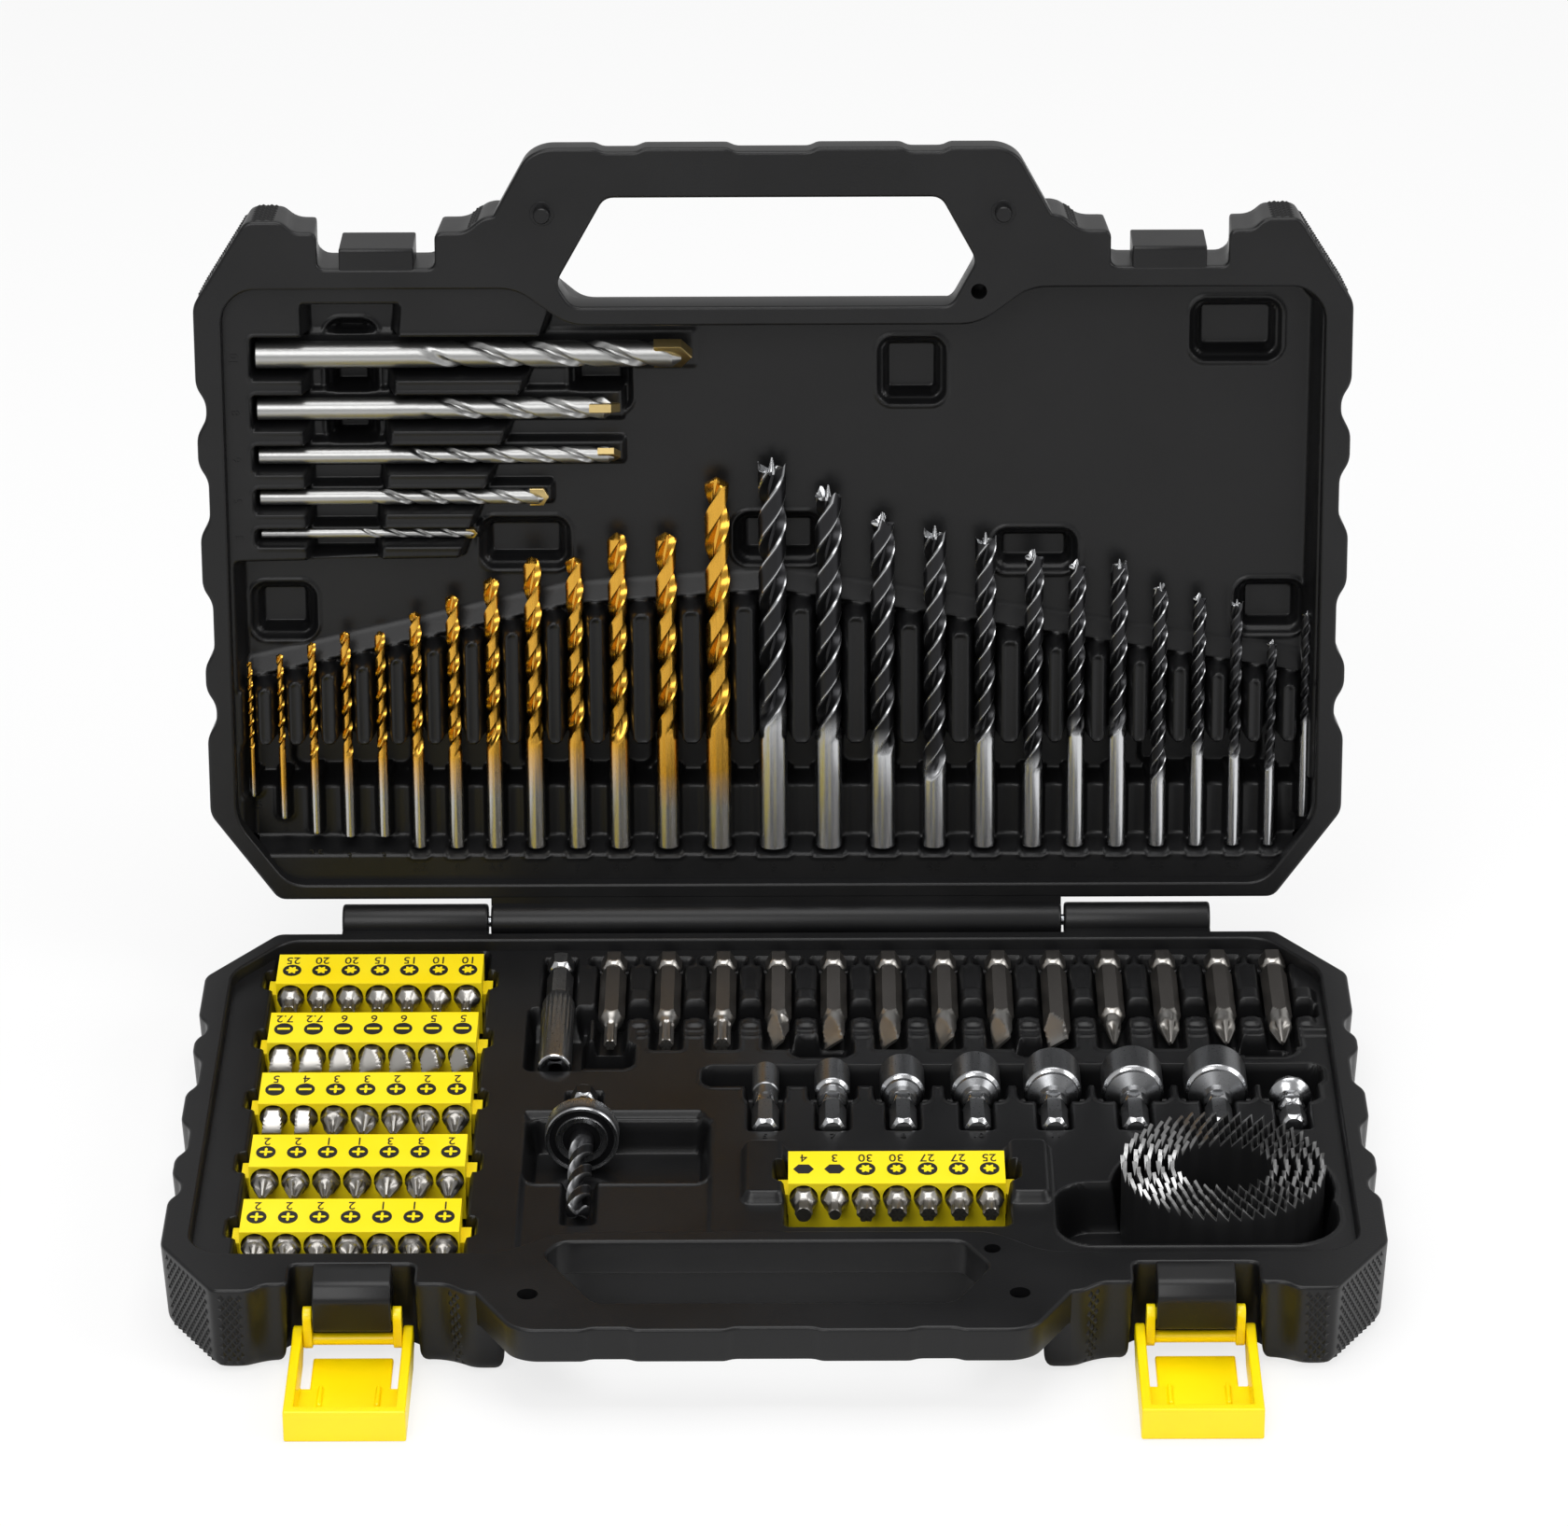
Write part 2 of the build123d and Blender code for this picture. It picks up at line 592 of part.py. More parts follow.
def power_bit(u, slotted):
    """A hexagonal bit with a ball groove, ending in a round or a flat tip."""
    body_end = power_tail_v + power_bit_length - tip_length
    hexagon(BASE, u, (power_tail_v, body_end), power_axis_depth, hex_radius)
    groove_v = power_tail_v + 9.0
    plane = base_rim.offset(-power_axis_depth)
    with BuildSketch(plane) as groove:
        with Locations((u + hex_radius, -groove_v)):
            Circle(1.4)
    revolve(groove.sketch, axis=Axis(plane.from_local_coords((u, 0, 0)), (0, 1, 0)), mode=Mode.SUBTRACT)
    if slotted:
        reach = (u - hex_across / 2 + 0.2, u + hex_across / 2 - 0.2)
        flat = power_axis_depth
        plan_box(BASE, reach, (body_end, body_end + tip_length), flat - blade / 2, flat + blade / 2, Mode.ADD)
    else:
        steps = [(0, 0), (0, tip_radius), (tip_length - 2, tip_radius - 0.4), (tip_length, 0.8), (tip_length, 0)]
        turned(BASE, u, body_end, power_axis_depth, steps)


slotted_end = star_power_bits + slotted_power_bits
power_groups = {
    "star_power_bits": power_places[:star_power_bits],
    "slotted_power_bits": power_places[star_power_bits:slotted_end],
    "cross_power_bits": power_places[slotted_end:],
}
for name, places in power_groups.items():
    with BuildPart() as power_bits:
        for u in places:
            power_bit(u, slotted=name.startswith("slotted"))
    keep(power_bits.part, name)

with BuildPart() as nut_drivers:
    for (diameter, u), bore in zip(socket_places, socket_bores):
        radius, shank_v = diameter / 2, socket_v + socket_length
        turned(BASE, u, socket_v, small_axis_depth, [
            (0, 0), (0, radius), (socket_length - 2, radius), (socket_length - 2, radius - 0.8),
            (socket_length, max(3.0, radius - 3)), (socket_length, 0),
        ])
        hexagon(BASE, u, (shank_v - 1, socket_v + driver_length), small_axis_depth, hex_radius)
        bore_radius = bore / 2 / cos(radians(30))
        hexagon(BASE, u, (socket_v - 1, socket_v + 9.0), small_axis_depth, bore_radius, Mode.SUBTRACT)
keep(nut_drivers.part, "nut_drivers")

with BuildPart() as countersink:
    head_v, head = socket_v + 6, countersink_radius
    steps = [(0, 0), (1.0, 1.2), (6.0, head), (9.0, head), (10.0, 3.6), (13.0, 3.4), (13.0, 0)]
    turned(BASE, countersink_u, head_v, small_axis_depth, steps)
    hexagon(BASE, countersink_u, (head_v + 12, head_v + countersink_length), small_axis_depth, hex_radius)
keep(countersink.part, "countersink")

with BuildPart() as bit_holder:
    sleeve_start = power_tail_v + holder_length - holder_sleeve_length
    holder_end = power_tail_v + holder_length
    hexagon(BASE, holder_u, (power_tail_v, sleeve_start + 1), small_axis_depth, hex_radius)
    sleeve = [(0, 0), (0, holder_radius - 1), (3, holder_radius), (holder_sleeve_length, holder_radius)]
    turned(BASE, holder_u, sleeve_start, small_axis_depth, sleeve + [(holder_sleeve_length, 0)])
    socket = (holder_end - holder_socket_depth, holder_end + 1)
    hexagon(BASE, holder_u, socket, small_axis_depth, hex_radius + 0.1, Mode.SUBTRACT)
    magnet_v = socket[0] - magnet_height
    hexagon(BASE, holder_u, (magnet_v, socket[0] + 1), small_axis_depth, magnet_radius * 1.2, Mode.SUBTRACT)
keep(bit_holder.part, "bit_holder")

with BuildPart() as holder_magnet:
    steps = [(0, 0), (0, magnet_radius), (magnet_height, magnet_radius), (magnet_height, 0)]
    turned(BASE, holder_u, magnet_v, small_axis_depth, steps)
keep(holder_magnet.part, "holder_magnet")

# ---- Bit bars with their insert bits ----

bar_slots = [(i - (insert_count - 1) / 2) * insert_pitch for i in range(insert_count)]
bar_names = [f"bit_bar_{i + 1}" for i in range(bar_count)] + ["bit_bar_front"]
insert_names = [
    "star_insert_bits", "slotted_insert_bits", "mixed_insert_bits", "cross_insert_bits_4",
    "cross_insert_bits_5", "hex_insert_bits",
]
slotted_inserts = {"slotted_insert_bits": insert_count, "mixed_insert_bits": 2}

for (u, v), bar_name, insert_name in zip(bar_places, bar_names, insert_names):
    front = v + bar_length
    half, ear = bar_width / 2, bar_width / 2 + bar_ear
    middle = v + bar_length / 2
    with BuildPart() as bit_bar:
        plan_box(BASE, (u - half, u + half), (v, front), 0, bar_height, Mode.ADD)
        ear_v = (middle - bar_ear_length / 2, middle + bar_ear_length / 2)
        plan_box(BASE, (u - ear, u + ear), ear_v, *bar_ear_depths, Mode.ADD)
        for slot in bar_slots:
            start = base_rim.from_local_coords((u + slot, -front, -insert_axis_depth))
            with BuildSketch(Plane(origin=start, x_dir=(1, 0, 0), z_dir=(0, 1, 0))) as hole:
                Circle(hex_radius + 0.1)
            extrude(hole.sketch, amount=insert_hole, mode=Mode.SUBTRACT)
    keep(bit_bar.part, bar_name)

    with BuildPart() as insert_bits:
        for number, slot in enumerate(bar_slots):
            tail = front - insert_hole + running_gap
            hexagon(BASE, u + slot, (tail, front), insert_axis_depth, hex_radius)
            reach = insert_length - insert_hole + running_gap
            if number < slotted_inserts.get(insert_name, 0):
                flat = (u + slot - 2.8, u + slot + 2.8)
                edges = (insert_axis_depth - blade / 2, insert_axis_depth + blade / 2)
                plan_box(BASE, flat, (front, front + reach), *edges, Mode.ADD)
            else:
                steps = [(0, 0), (0, 2.8), (reach - 3, 2.4), (reach, 0.9), (reach, 0)]
                turned(BASE, u + slot, front, insert_axis_depth, steps)
    keep(insert_bits.part, insert_name)

# ---- Hole saws and their arbor ----

tooth_count_per_mm, tooth_depth = 0.8, 3.0
for i in range(saw_count):
    radius = saw_outer_radius - saw_step * i
    teeth = round(radius * tooth_count_per_mm)
    with BuildPart() as hole_saw:
        with BuildSketch(base_rim.offset(saw_stand - saw_height)) as ring:
            with Locations((saw_u, -saw_v)):
                Circle(radius)
                Circle(radius - saw_wall, mode=Mode.SUBTRACT)
        extrude(ring.sketch, amount=saw_height)
        with BuildSketch(base_rim.offset(saw_stand - tooth_depth)) as gullets:
            with Locations((saw_u, -saw_v)):
                with PolarLocations(radius, teeth):
                    Rectangle(2 * saw_wall + 2, 2.6)
        extrude(gullets.sketch, amount=tooth_depth + 1, mode=Mode.SUBTRACT)
    keep(hole_saw.part, f"hole_saw_{2 * radius:.0f}mm")

with BuildPart() as saw_arbor:
    collar_v = arbor_flange_v - arbor_flange - arbor_collar
    hexagon(BASE, arbor_u, (collar_v - arbor_shank, collar_v + 1), arbor_axis_depth, hex_radius)
    collar_radius = arbor_collar_across / 2 / cos(radians(30))
    hexagon(BASE, arbor_u, (collar_v, collar_v + arbor_collar + 1), arbor_axis_depth, collar_radius)
    flange = [(0, 0), (0, arbor_flange_radius), (arbor_flange, arbor_flange_radius), (arbor_flange, 0)]
    turned(BASE, arbor_u, arbor_flange_v - arbor_flange, arbor_axis_depth, flange)
    start = base_rim.from_local_coords((arbor_u, -arbor_flange_v, -arbor_axis_depth))
    with BuildSketch(Plane(origin=start, x_dir=(1, 0, 0), z_dir=(0, 1, 0))) as pilot_bore:
        Circle(pilot_radius + shaft_clearance)
    extrude(pilot_bore.sketch, amount=arbor_flange + 2, mode=Mode.SUBTRACT)
keep(saw_arbor.part, "saw_arbor")

with BuildPart() as pilot_drill:
    embedded = arbor_flange + 1.5
    reach = embedded + pilot_length
    steps = [(0, 0), (0, pilot_radius), (reach - 2, pilot_radius), (reach, 0)]
    turned(BASE, arbor_u, arbor_flange_v - embedded, arbor_axis_depth, steps)
keep(pilot_drill.part, "pilot_drill")
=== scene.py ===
# %% [markdown]
# # A drill bit case, open on a studio table
#
# The real thing is a blow-moulded case of two equal shells. The lid leans back and holds the drill bits,
# the base lies flat and holds the drivers, and two yellow latches hang open in front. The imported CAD
# model gives every place and size, and this script gives the surfaces: soft moulded trays, fluted bits,
# toothed saws, and a material for each finish. Shapes are worked out with numpy on whole arrays.

import math

import bmesh
import bpy
import numpy as np
from mathutils import Matrix, Vector
from mathutils.geometry import delaunay_2d_cdt


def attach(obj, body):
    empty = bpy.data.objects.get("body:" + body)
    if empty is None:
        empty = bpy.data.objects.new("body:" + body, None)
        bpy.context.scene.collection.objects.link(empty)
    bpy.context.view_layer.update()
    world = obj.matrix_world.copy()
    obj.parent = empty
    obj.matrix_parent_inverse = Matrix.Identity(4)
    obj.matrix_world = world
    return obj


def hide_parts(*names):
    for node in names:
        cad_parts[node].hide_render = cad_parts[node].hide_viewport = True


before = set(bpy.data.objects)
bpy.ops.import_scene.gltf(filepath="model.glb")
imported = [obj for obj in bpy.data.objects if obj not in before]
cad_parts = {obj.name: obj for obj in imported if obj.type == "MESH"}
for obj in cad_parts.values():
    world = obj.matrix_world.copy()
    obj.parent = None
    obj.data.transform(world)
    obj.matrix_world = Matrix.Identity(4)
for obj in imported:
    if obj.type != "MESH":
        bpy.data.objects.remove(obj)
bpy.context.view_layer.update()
MM = 0.001

# %% [markdown]
# ## The camera
#
# The photograph was taken with a long lens from the front, 26 degrees above the table. The numbers come
# from fitting the outlines of both shells, so the shells' corners land where the photograph has them. A
# camera aimed by eye would do for one shell, but the two planes together need the fitted one.

# %% Camera
camera_place = (9.83, -1578.08, 902.54)
pitch, yaw, roll = (math.radians(angle) for angle in (26.065, -0.25, -0.30))
forward = Vector((math.sin(yaw) * math.cos(pitch), math.cos(yaw) * math.cos(pitch), -math.sin(pitch)))
level = Vector((math.cos(yaw), -math.sin(yaw), 0))
upright = level.cross(forward)
camera_right = level * math.cos(roll) + upright * math.sin(roll)
camera_up = upright * math.cos(roll) - level * math.sin(roll)
camera_data = bpy.data.cameras.new("camera")
camera_data.sensor_fit = "HORIZONTAL"
camera_data.sensor_width = 36.0
camera_data.lens = 155.35
camera_data.clip_end = 20.0
camera = bpy.data.objects.new("camera", camera_data)
bpy.context.scene.collection.objects.link(camera)
turn = Matrix((camera_right, camera_up, -forward)).transposed().to_4x4()
camera.matrix_world = Matrix.Translation(Vector(camera_place) * MM) @ turn
bpy.context.scene.camera = camera
print("camera", [round(x, 3) for x in camera.location])

# %% [markdown]
# ## Two rims, one way to measure
#
# Both shells are drawn on their own rim, as the CAD does: u runs to the right, v away from the hinge, and
# depth goes from the rim into the shell. One function turns these three numbers into metres, so a shape
# for the leaning lid is as easy to write as one for the flat base.

# %% Frames of the two shells
LEAN = math.radians(6.27)
HINGE = np.array([0.0, 115.0, 25.0])
LID = np.array([[1, 0, 0], [0, math.sin(LEAN), math.cos(LEAN)], [0, math.cos(LEAN), -math.sin(LEAN)]])
BASE = np.array([[1, 0, 0], [0, -1, 0], [0, 0, -1]], float)


def place(rim, u, v, depth):
    """Metres from shell numbers: the hinge's middle, plus u, v and depth along the rim's three directions."""
    return MM * (HINGE + np.stack(np.broadcast_arrays(u, v, depth), -1) @ rim)


print("lid corner", place(LID, 158.5, 203.8, 0).round(4))

# %% [markdown]
# ## From grids to meshes
#
# Nearly every piece is a grid of points: one direction runs along the piece, the other across or round
# it. A Shape keeps the points with the faces between them, and one number for each point, the mark, that
# a material can read to change its finish along the piece. Typing out vertices would be slow and hard to
# change, and a grid keeps its edges in line with the form.

# %% Shapes
class Shape:
    """Points in metres, the quads and triangles between them, and a mark for each point."""

    def __init__(self, points, quads=(), triangles=(), mark=0.0):
        self.points = np.asarray(points, float).reshape(-1, 3)
        self.quads = np.asarray(quads, int).reshape(-1, 4)
        self.triangles = np.asarray(triangles, int).reshape(-1, 3)
        self.mark = np.zeros(len(self.points)) + np.asarray(mark, float).ravel()

    def flipped(self):
        """The same shape with every face turned over."""
        return Shape(self.points, self.quads[:, ::-1], self.triangles[:, ::-1], self.mark)

    def facing(self, toward):
        """The shape turned so that its faces agree, on the whole, with a direction for each of its points."""
        faces = np.concatenate([self.triangles, self.quads[:, :3]])
        a, b, c = (self.points[faces[:, i]] for i in range(3))
        toward = np.broadcast_to(toward, self.points.shape)[faces[:, 0]]
        return self if np.sum(np.cross(b - a, c - a) * toward) > 0 else self.flipped()

    def outward(self):
        """Faces turned outwards: the volume, a sum of corner products over the faces, has to be positive."""
        p = self.points - self.points.mean(0)
        fans = np.concatenate([self.triangles, self.quads[:, [0, 1, 2]], self.quads[:, [0, 2, 3]]])
        volume = np.einsum("ij,ij->i", p[fans[:, 0]], np.cross(p[fans[:, 1]], p[fans[:, 2]])).sum()
        return self if volume > 0 else self.flipped()


def joined(shapes):
    """One shape of several: points end to end, and face numbers raised by the points before them."""
    first = np.cumsum([0] + [len(s.points) for s in shapes[:-1]])
    return Shape(
        np.concatenate([s.points for s in shapes]),
        np.concatenate([s.quads + n for s, n in zip(shapes, first)]),
        np.concatenate([s.triangles + n for s, n in zip(shapes, first)]),
        np.concatenate([s.mark for s in shapes]),
    )


def sheet(points, mark=0.0, ring=False, caps=False):
    """Quads over a grid of points; ring joins the last column to the first, caps closes both ends to a
    point in the middle of the end rows."""
    rows, cols = points.shape[:2]
    number = np.arange(rows * cols).reshape(rows, cols)
    across = np.concatenate([number, number[:, :1]], 1) if ring else number
    quads = np.stack([across[:-1, :-1], across[:-1, 1:], across[1:, 1:], across[1:, :-1]], -1).reshape(-1, 4)
    mark = (np.zeros((rows, cols)) + np.asarray(mark, float)).ravel()
    flat = points.reshape(-1, 3)
    if not caps:
        return Shape(flat, quads, mark=mark)
    poles = np.stack([points[0].mean(0), points[-1].mean(0)])
    start, end = across[0], across[-1]
    low = np.stack([np.full(len(start) - 1, rows * cols), start[1:], start[:-1]], -1)
    high = np.stack([np.full(len(end) - 1, rows * cols + 1), end[:-1], end[1:]], -1)
    mark = np.append(mark, [mark[0], mark[-1]])
    return Shape(np.concatenate([flat, poles]), quads, np.concatenate([low, high]), mark)


made = {}


def build(name, shape, body, material, sharp=35.0, normals=None, stands_for=()):
    """Puts a shape into a mesh object that rides on its body. Edges sharper than the angle stay crisp."""
    mesh = bpy.data.meshes.new(name)
    mesh.from_pydata(shape.points.tolist(), [], shape.quads.tolist() + shape.triangles.tolist())
    mesh.materials.append(material)
    mesh.polygons.foreach_set("use_smooth", np.ones(len(mesh.polygons), bool))
    if np.ptp(shape.mark) > 0:
        mesh.attributes.new("mark", "FLOAT", "POINT").data.foreach_set("value", shape.mark.astype(np.float32))
    if normals is not None:
        mesh.normals_split_custom_set_from_vertices(normals.reshape(-1, 3).tolist())
    elif sharp:
        mesh.set_sharp_from_angle(angle=math.radians(sharp))
    piece = bpy.data.objects.new(name, mesh)
    bpy.context.scene.collection.objects.link(piece)
    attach(piece, body)
    if stands_for:
        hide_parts(*stands_for)
    made[name] = len(shape.quads) * 2 + len(shape.triangles)
    return piece


small_ring = sheet(np.zeros((3, 4, 3)), ring=True, caps=True)
print("a 3 x 4 ring with caps has", len(small_ring.triangles), "triangles")

# %% [markdown]
# ## Materials
#
# Each finish is a small set of nodes. One function adds a node with its settings and links, and one turns
# a hex colour into the linear numbers that Blender works with. Patterns are set by real sizes: a bump
# that repeats every 0.4 mm has a scale of one over 0.0004.

# %% Colour and nodes
def colour(hex_code):
    """sRGB hex to linear: small values divided by 12.92, the others raised to the power 2.4."""
    srgb = np.array([int(hex_code[i:i + 2], 16) for i in (1, 3, 5)]) / 255
    linear = np.where(srgb <= 0.04045, srgb / 12.92, ((srgb + 0.055) / 1.055) ** 2.4)
    return (*linear.tolist(), 1.0)


def node(tree, kind, inputs, **settings):
    """Adds one node: settings are its own properties, inputs are numbers, colours or other nodes' outputs."""
    new = tree.nodes.new(kind)
    for name, value in settings.items():
        setattr(new, name, value)
    for name, value in inputs.items():
        if isinstance(value, bpy.types.NodeSocket):
            tree.links.new(value, new.inputs[name])
        else:
            new.inputs[name].default_value = value
    return new


def start_material(name, **shader):
    """A material with an empty tree, its coordinates, and its main shader set from plain numbers."""
    material = bpy.data.materials.new(name)
    material.use_nodes = True
    tree = material.node_tree
    tree.nodes.clear()
    principled = node(tree, "ShaderNodeBsdfPrincipled", shader)
    node(tree, "ShaderNodeOutputMaterial", {"Surface": principled.outputs["BSDF"]})
    places = node(tree, "ShaderNodeTexCoord", {})
    return material, tree, principled, places.outputs["Object"]


def per_mm(size):
    """The texture scale of a pattern with this size in millimetres, as Object coordinates are in metres."""
    return 1.0 / (size * MM)


print("case black is", [round(x, 4) for x in colour("#2b2b2c")])

# %% [markdown]
# **Blow-moulded polyethylene.** The shells come from a spark-eroded mould, which leaves a fine grain that
# breaks highlights up into a satin sheen. Two noises make it: a fine one for the grain, and a broad faint
# one for the uneven cooling that makes large flat faces look a little cloudy.

# %% Case plastic
def moulded_plastic(name, dark, light, rough, grain_mm=0.5, grain=0.12, **more):
    """Plastic from a grained mould: clouded colour, uneven gloss and a fine bump."""
    material, tree, shader, at = start_material(name, Roughness=rough, **more)
    cloud = node(tree, "ShaderNodeTexNoise", {"Vector": at, "Scale": per_mm(28.0), "Detail": 3.0})
    ramp = node(tree, "ShaderNodeValToRGB", {"Fac": cloud.outputs["Fac"]})
    ramp.color_ramp.elements[0].position, ramp.color_ramp.elements[1].position = 0.35, 0.65
    ramp.color_ramp.elements[0].color, ramp.color_ramp.elements[1].color = colour(dark), colour(light)
    tree.links.new(ramp.outputs["Color"], shader.inputs["Base Color"])
    gloss = node(tree, "ShaderNodeMapRange", {"Value": cloud.outputs["Fac"], "To Min": rough - 0.05,
                                              "To Max": rough + 0.07})
    tree.links.new(gloss.outputs["Result"], shader.inputs["Roughness"])
    fine = node(tree, "ShaderNodeTexNoise", {"Vector": at, "Scale": per_mm(grain_mm), "Detail": 2.0})
    bump = node(tree, "ShaderNodeBump", {"Height": fine.outputs["Fac"], "Strength": grain,
                                         "Distance": 0.1 * MM})
    tree.links.new(bump.outputs["Normal"], shader.inputs["Normal"])
    return material


case_plastic = moulded_plastic("moulded_black_polyethylene", "#0f0f10", "#141415", 0.34, grain=0.25,
                               **{"Specular IOR Level": 0.32})
latch_plastic = moulded_plastic("moulded_yellow_polypropylene", "#FFE000", "#FFE600", 0.32, grain=0.06)
bar_plastic = moulded_plastic("matt_yellow_polypropylene", "#FFE200", "#FFE81C", 0.48, grain=0.1)
print("plastics", case_plastic.name, latch_plastic.name, bar_plastic.name)

# %% [markdown]
# **Steel finishes.** All the metals share a body: drawn or ground steel with faint lines from its making.
# What sets them apart is colour and roughness. The mark of each point blends two finishes on one piece,
# such as the gold titanium nitride of a twist drill with its bare shank, or the black oxide of a brad
# point drill with its ground bright edges. On the black drills and the arbor the bright marked finish is
# also used as painted highlight along edges and rims.

# %% Metals
def steel(name, main, marked=None, rough=0.3, marked_rough=None, grain_mm=(0.3, 6.0), grain=0.05, metal=1.0,
          marked_metal=None, **more):
    """Metal whose colour, gloss and metalness go over to the marked finish where the point's mark is 1."""
    material, tree, shader, at = start_material(name, Metallic=metal, Roughness=rough, **more)
    shader.inputs["Base Color"].default_value = colour(main)
    stretch = node(tree, "ShaderNodeMapping", {"Vector": at, "Scale": (
        per_mm(grain_mm[0]), per_mm(grain_mm[1]), per_mm(grain_mm[1]))})
    lines = node(tree, "ShaderNodeTexNoise", {"Vector": stretch.outputs["Vector"], "Scale": 1.0,
                                              "Detail": 2.0})
    uneven = node(tree, "ShaderNodeMapRange", {"Value": lines.outputs["Fac"], "To Min": -0.08,
                                               "To Max": 0.08})
    mark = node(tree, "ShaderNodeAttribute", {}, attribute_name="mark")
    if marked:
        mix = node(tree, "ShaderNodeMix", {}, data_type="RGBA")
        tree.links.new(mark.outputs["Fac"], mix.inputs["Factor"])
        mix.inputs[6].default_value, mix.inputs[7].default_value = colour(main), colour(marked)
        tree.links.new(mix.outputs[2], shader.inputs["Base Color"])
        soft = node(tree, "ShaderNodeMapRange", {"Value": mark.outputs["Fac"], "To Min": rough,
                                                 "To Max": marked_rough if marked_rough else rough})
        total = node(tree, "ShaderNodeMath", {0: soft.outputs["Result"], 1: uneven.outputs["Result"]},
                     operation="ADD")
        if marked_metal is not None:
            turn_metal = node(tree, "ShaderNodeMapRange", {"Value": mark.outputs["Fac"], "To Min": metal,
                                                           "To Max": marked_metal})
            tree.links.new(turn_metal.outputs["Result"], shader.inputs["Metallic"])
    else:
        total = node(tree, "ShaderNodeMath", {0: uneven.outputs["Result"], 1: rough}, operation="ADD")
    tree.links.new(total.outputs["Value"], shader.inputs["Roughness"])
    bump = node(tree, "ShaderNodeBump", {"Height": lines.outputs["Fac"], "Strength": grain,
                                         "Distance": 0.05 * MM})
    tree.links.new(bump.outputs["Normal"], shader.inputs["Normal"])
    return material


gold_steel = steel("titanium_nitride_on_steel", "#D9A441", "#B9B7B2", 0.26, 0.24)
# marked finish: ground steel on shanks and tips, and painted highlight on land edges and the arbor's rims
oxide_steel = steel("black_oxide_with_ground_steel_and_painted_highlights", "#2A2A2C", "#C9CACC", 0.34, 0.22, metal=0.8,
                    marked_metal=1.0)
masonry_steel = steel("sandblasted_steel", "#A9A9A8", "#C8B078", 0.36, 0.34, grain_mm=(0.4, 0.4), grain=0.12)
driver_steel = steel("phosphated_driver_steel", "#6E6A66", "#B9B6B1", 0.42, 0.32,
                     grain_mm=(0.5, 0.5), grain=0.1)
satin_chrome = steel("satin_chromed_steel", "#8F9092", "#DCDDDF", 0.3, 0.16, grain_mm=(0.4, 0.4))
saw_steel = steel("black_painted_steel", "#202021", "#A8A8A8", 0.42, 0.3, metal=0.3, marked_metal=1.0)
pin_steel = steel("zinc_plated_steel", "#B9BCC0", rough=0.28)
print("metals", [m.name for m in (gold_steel, oxide_steel, masonry_steel, driver_steel, satin_chrome)])

# %% [markdown]
# ## Trays as height fields
#
# The inside of each shell is one moulded skin: a floor, raised pads that hold the bits, slots and
# finger wells, all with soft edges. It could be cut from solids and rounded, but hundreds of fillets are
# slow and fragile. Seen from above it is a single value per place, so it is made as a depth for each
# point of a grid. Each feature is a signed distance, and let_in moves the depth to a new level inside it.

# %% Distances and levels
def box_distance(u, v, u_range, v_range, corner=2.0):
    """Distance to a box with round corners: outside the box shrunk by the corner, less the corner."""
    over_u = np.abs(u - sum(u_range) / 2) - (u_range[1] - u_range[0]) / 2 + corner
    over_v = np.abs(v - sum(v_range) / 2) - (v_range[1] - v_range[0]) / 2 + corner
    outside = np.hypot(np.maximum(over_u, 0), np.maximum(over_v, 0))
    return outside + np.minimum(np.maximum(over_u, over_v), 0) - corner


def polygon_distance(u, v, points):
    """Distance to the nearest edge, negative where a ray to the right crosses the outline an odd number
    of times."""
    nearest = np.full(np.shape(u), 1e9)
    inside = np.zeros(np.shape(u), bool)
    for (u0, v0), (u1, v1) in zip(points, points[1:] + points[:1]):
        du, dv = u1 - u0, v1 - v0
        along = np.clip(((u - u0) * du + (v - v0) * dv) / (du * du + dv * dv), 0, 1)
        nearest = np.minimum(nearest, np.hypot(u - u0 - along * du, v - v0 - along * dv))
        crosses = (v0 > v) != (v1 > v)
        inside ^= crosses & (u < u0 + (v - v0) * du / (dv if dv else 1e-9))
    return np.where(inside, -nearest, nearest)


def let_in(depth, level, distance, wall=2.0):
    """The depth moved to a level inside a shape, over a wall of this width: an S curve of the distance."""
    part = np.clip(0.5 - distance / wall, 0, 1)
    part = part * part * (3 - 2 * part)
    return depth + (level - depth) * part


def cut(depth, level, distance, wall=2.0):
    """The same, but it only ever deepens: the larger of both depths."""
    return np.maximum(depth, let_in(depth, level, distance, wall))


def bead(depth, height, distance, width=1.2, above=np.inf):
    """A raised bead that follows a shape's edge: a cosine hump of the distance, only where the depth is above
    a level."""
    across = np.clip(np.abs(distance) / width, 0, 1)
    return np.where(depth < above, depth - height * (0.5 + 0.5 * np.cos(math.pi * across)), depth)


print("wall halfway:", let_in(0.0, 10.0, np.array([-1.0, 0.0, 1.0])).round(2))

# %% [markdown]
# ### Outlines with round corners
#
# The rim, the lip and the tray edges are drawn as short lists of corners, as on the CAD's plans. Each
# corner is replaced by a curve that leaves one side and meets the next, and the whole line is then
# sampled evenly, so walls built on it have even faces.

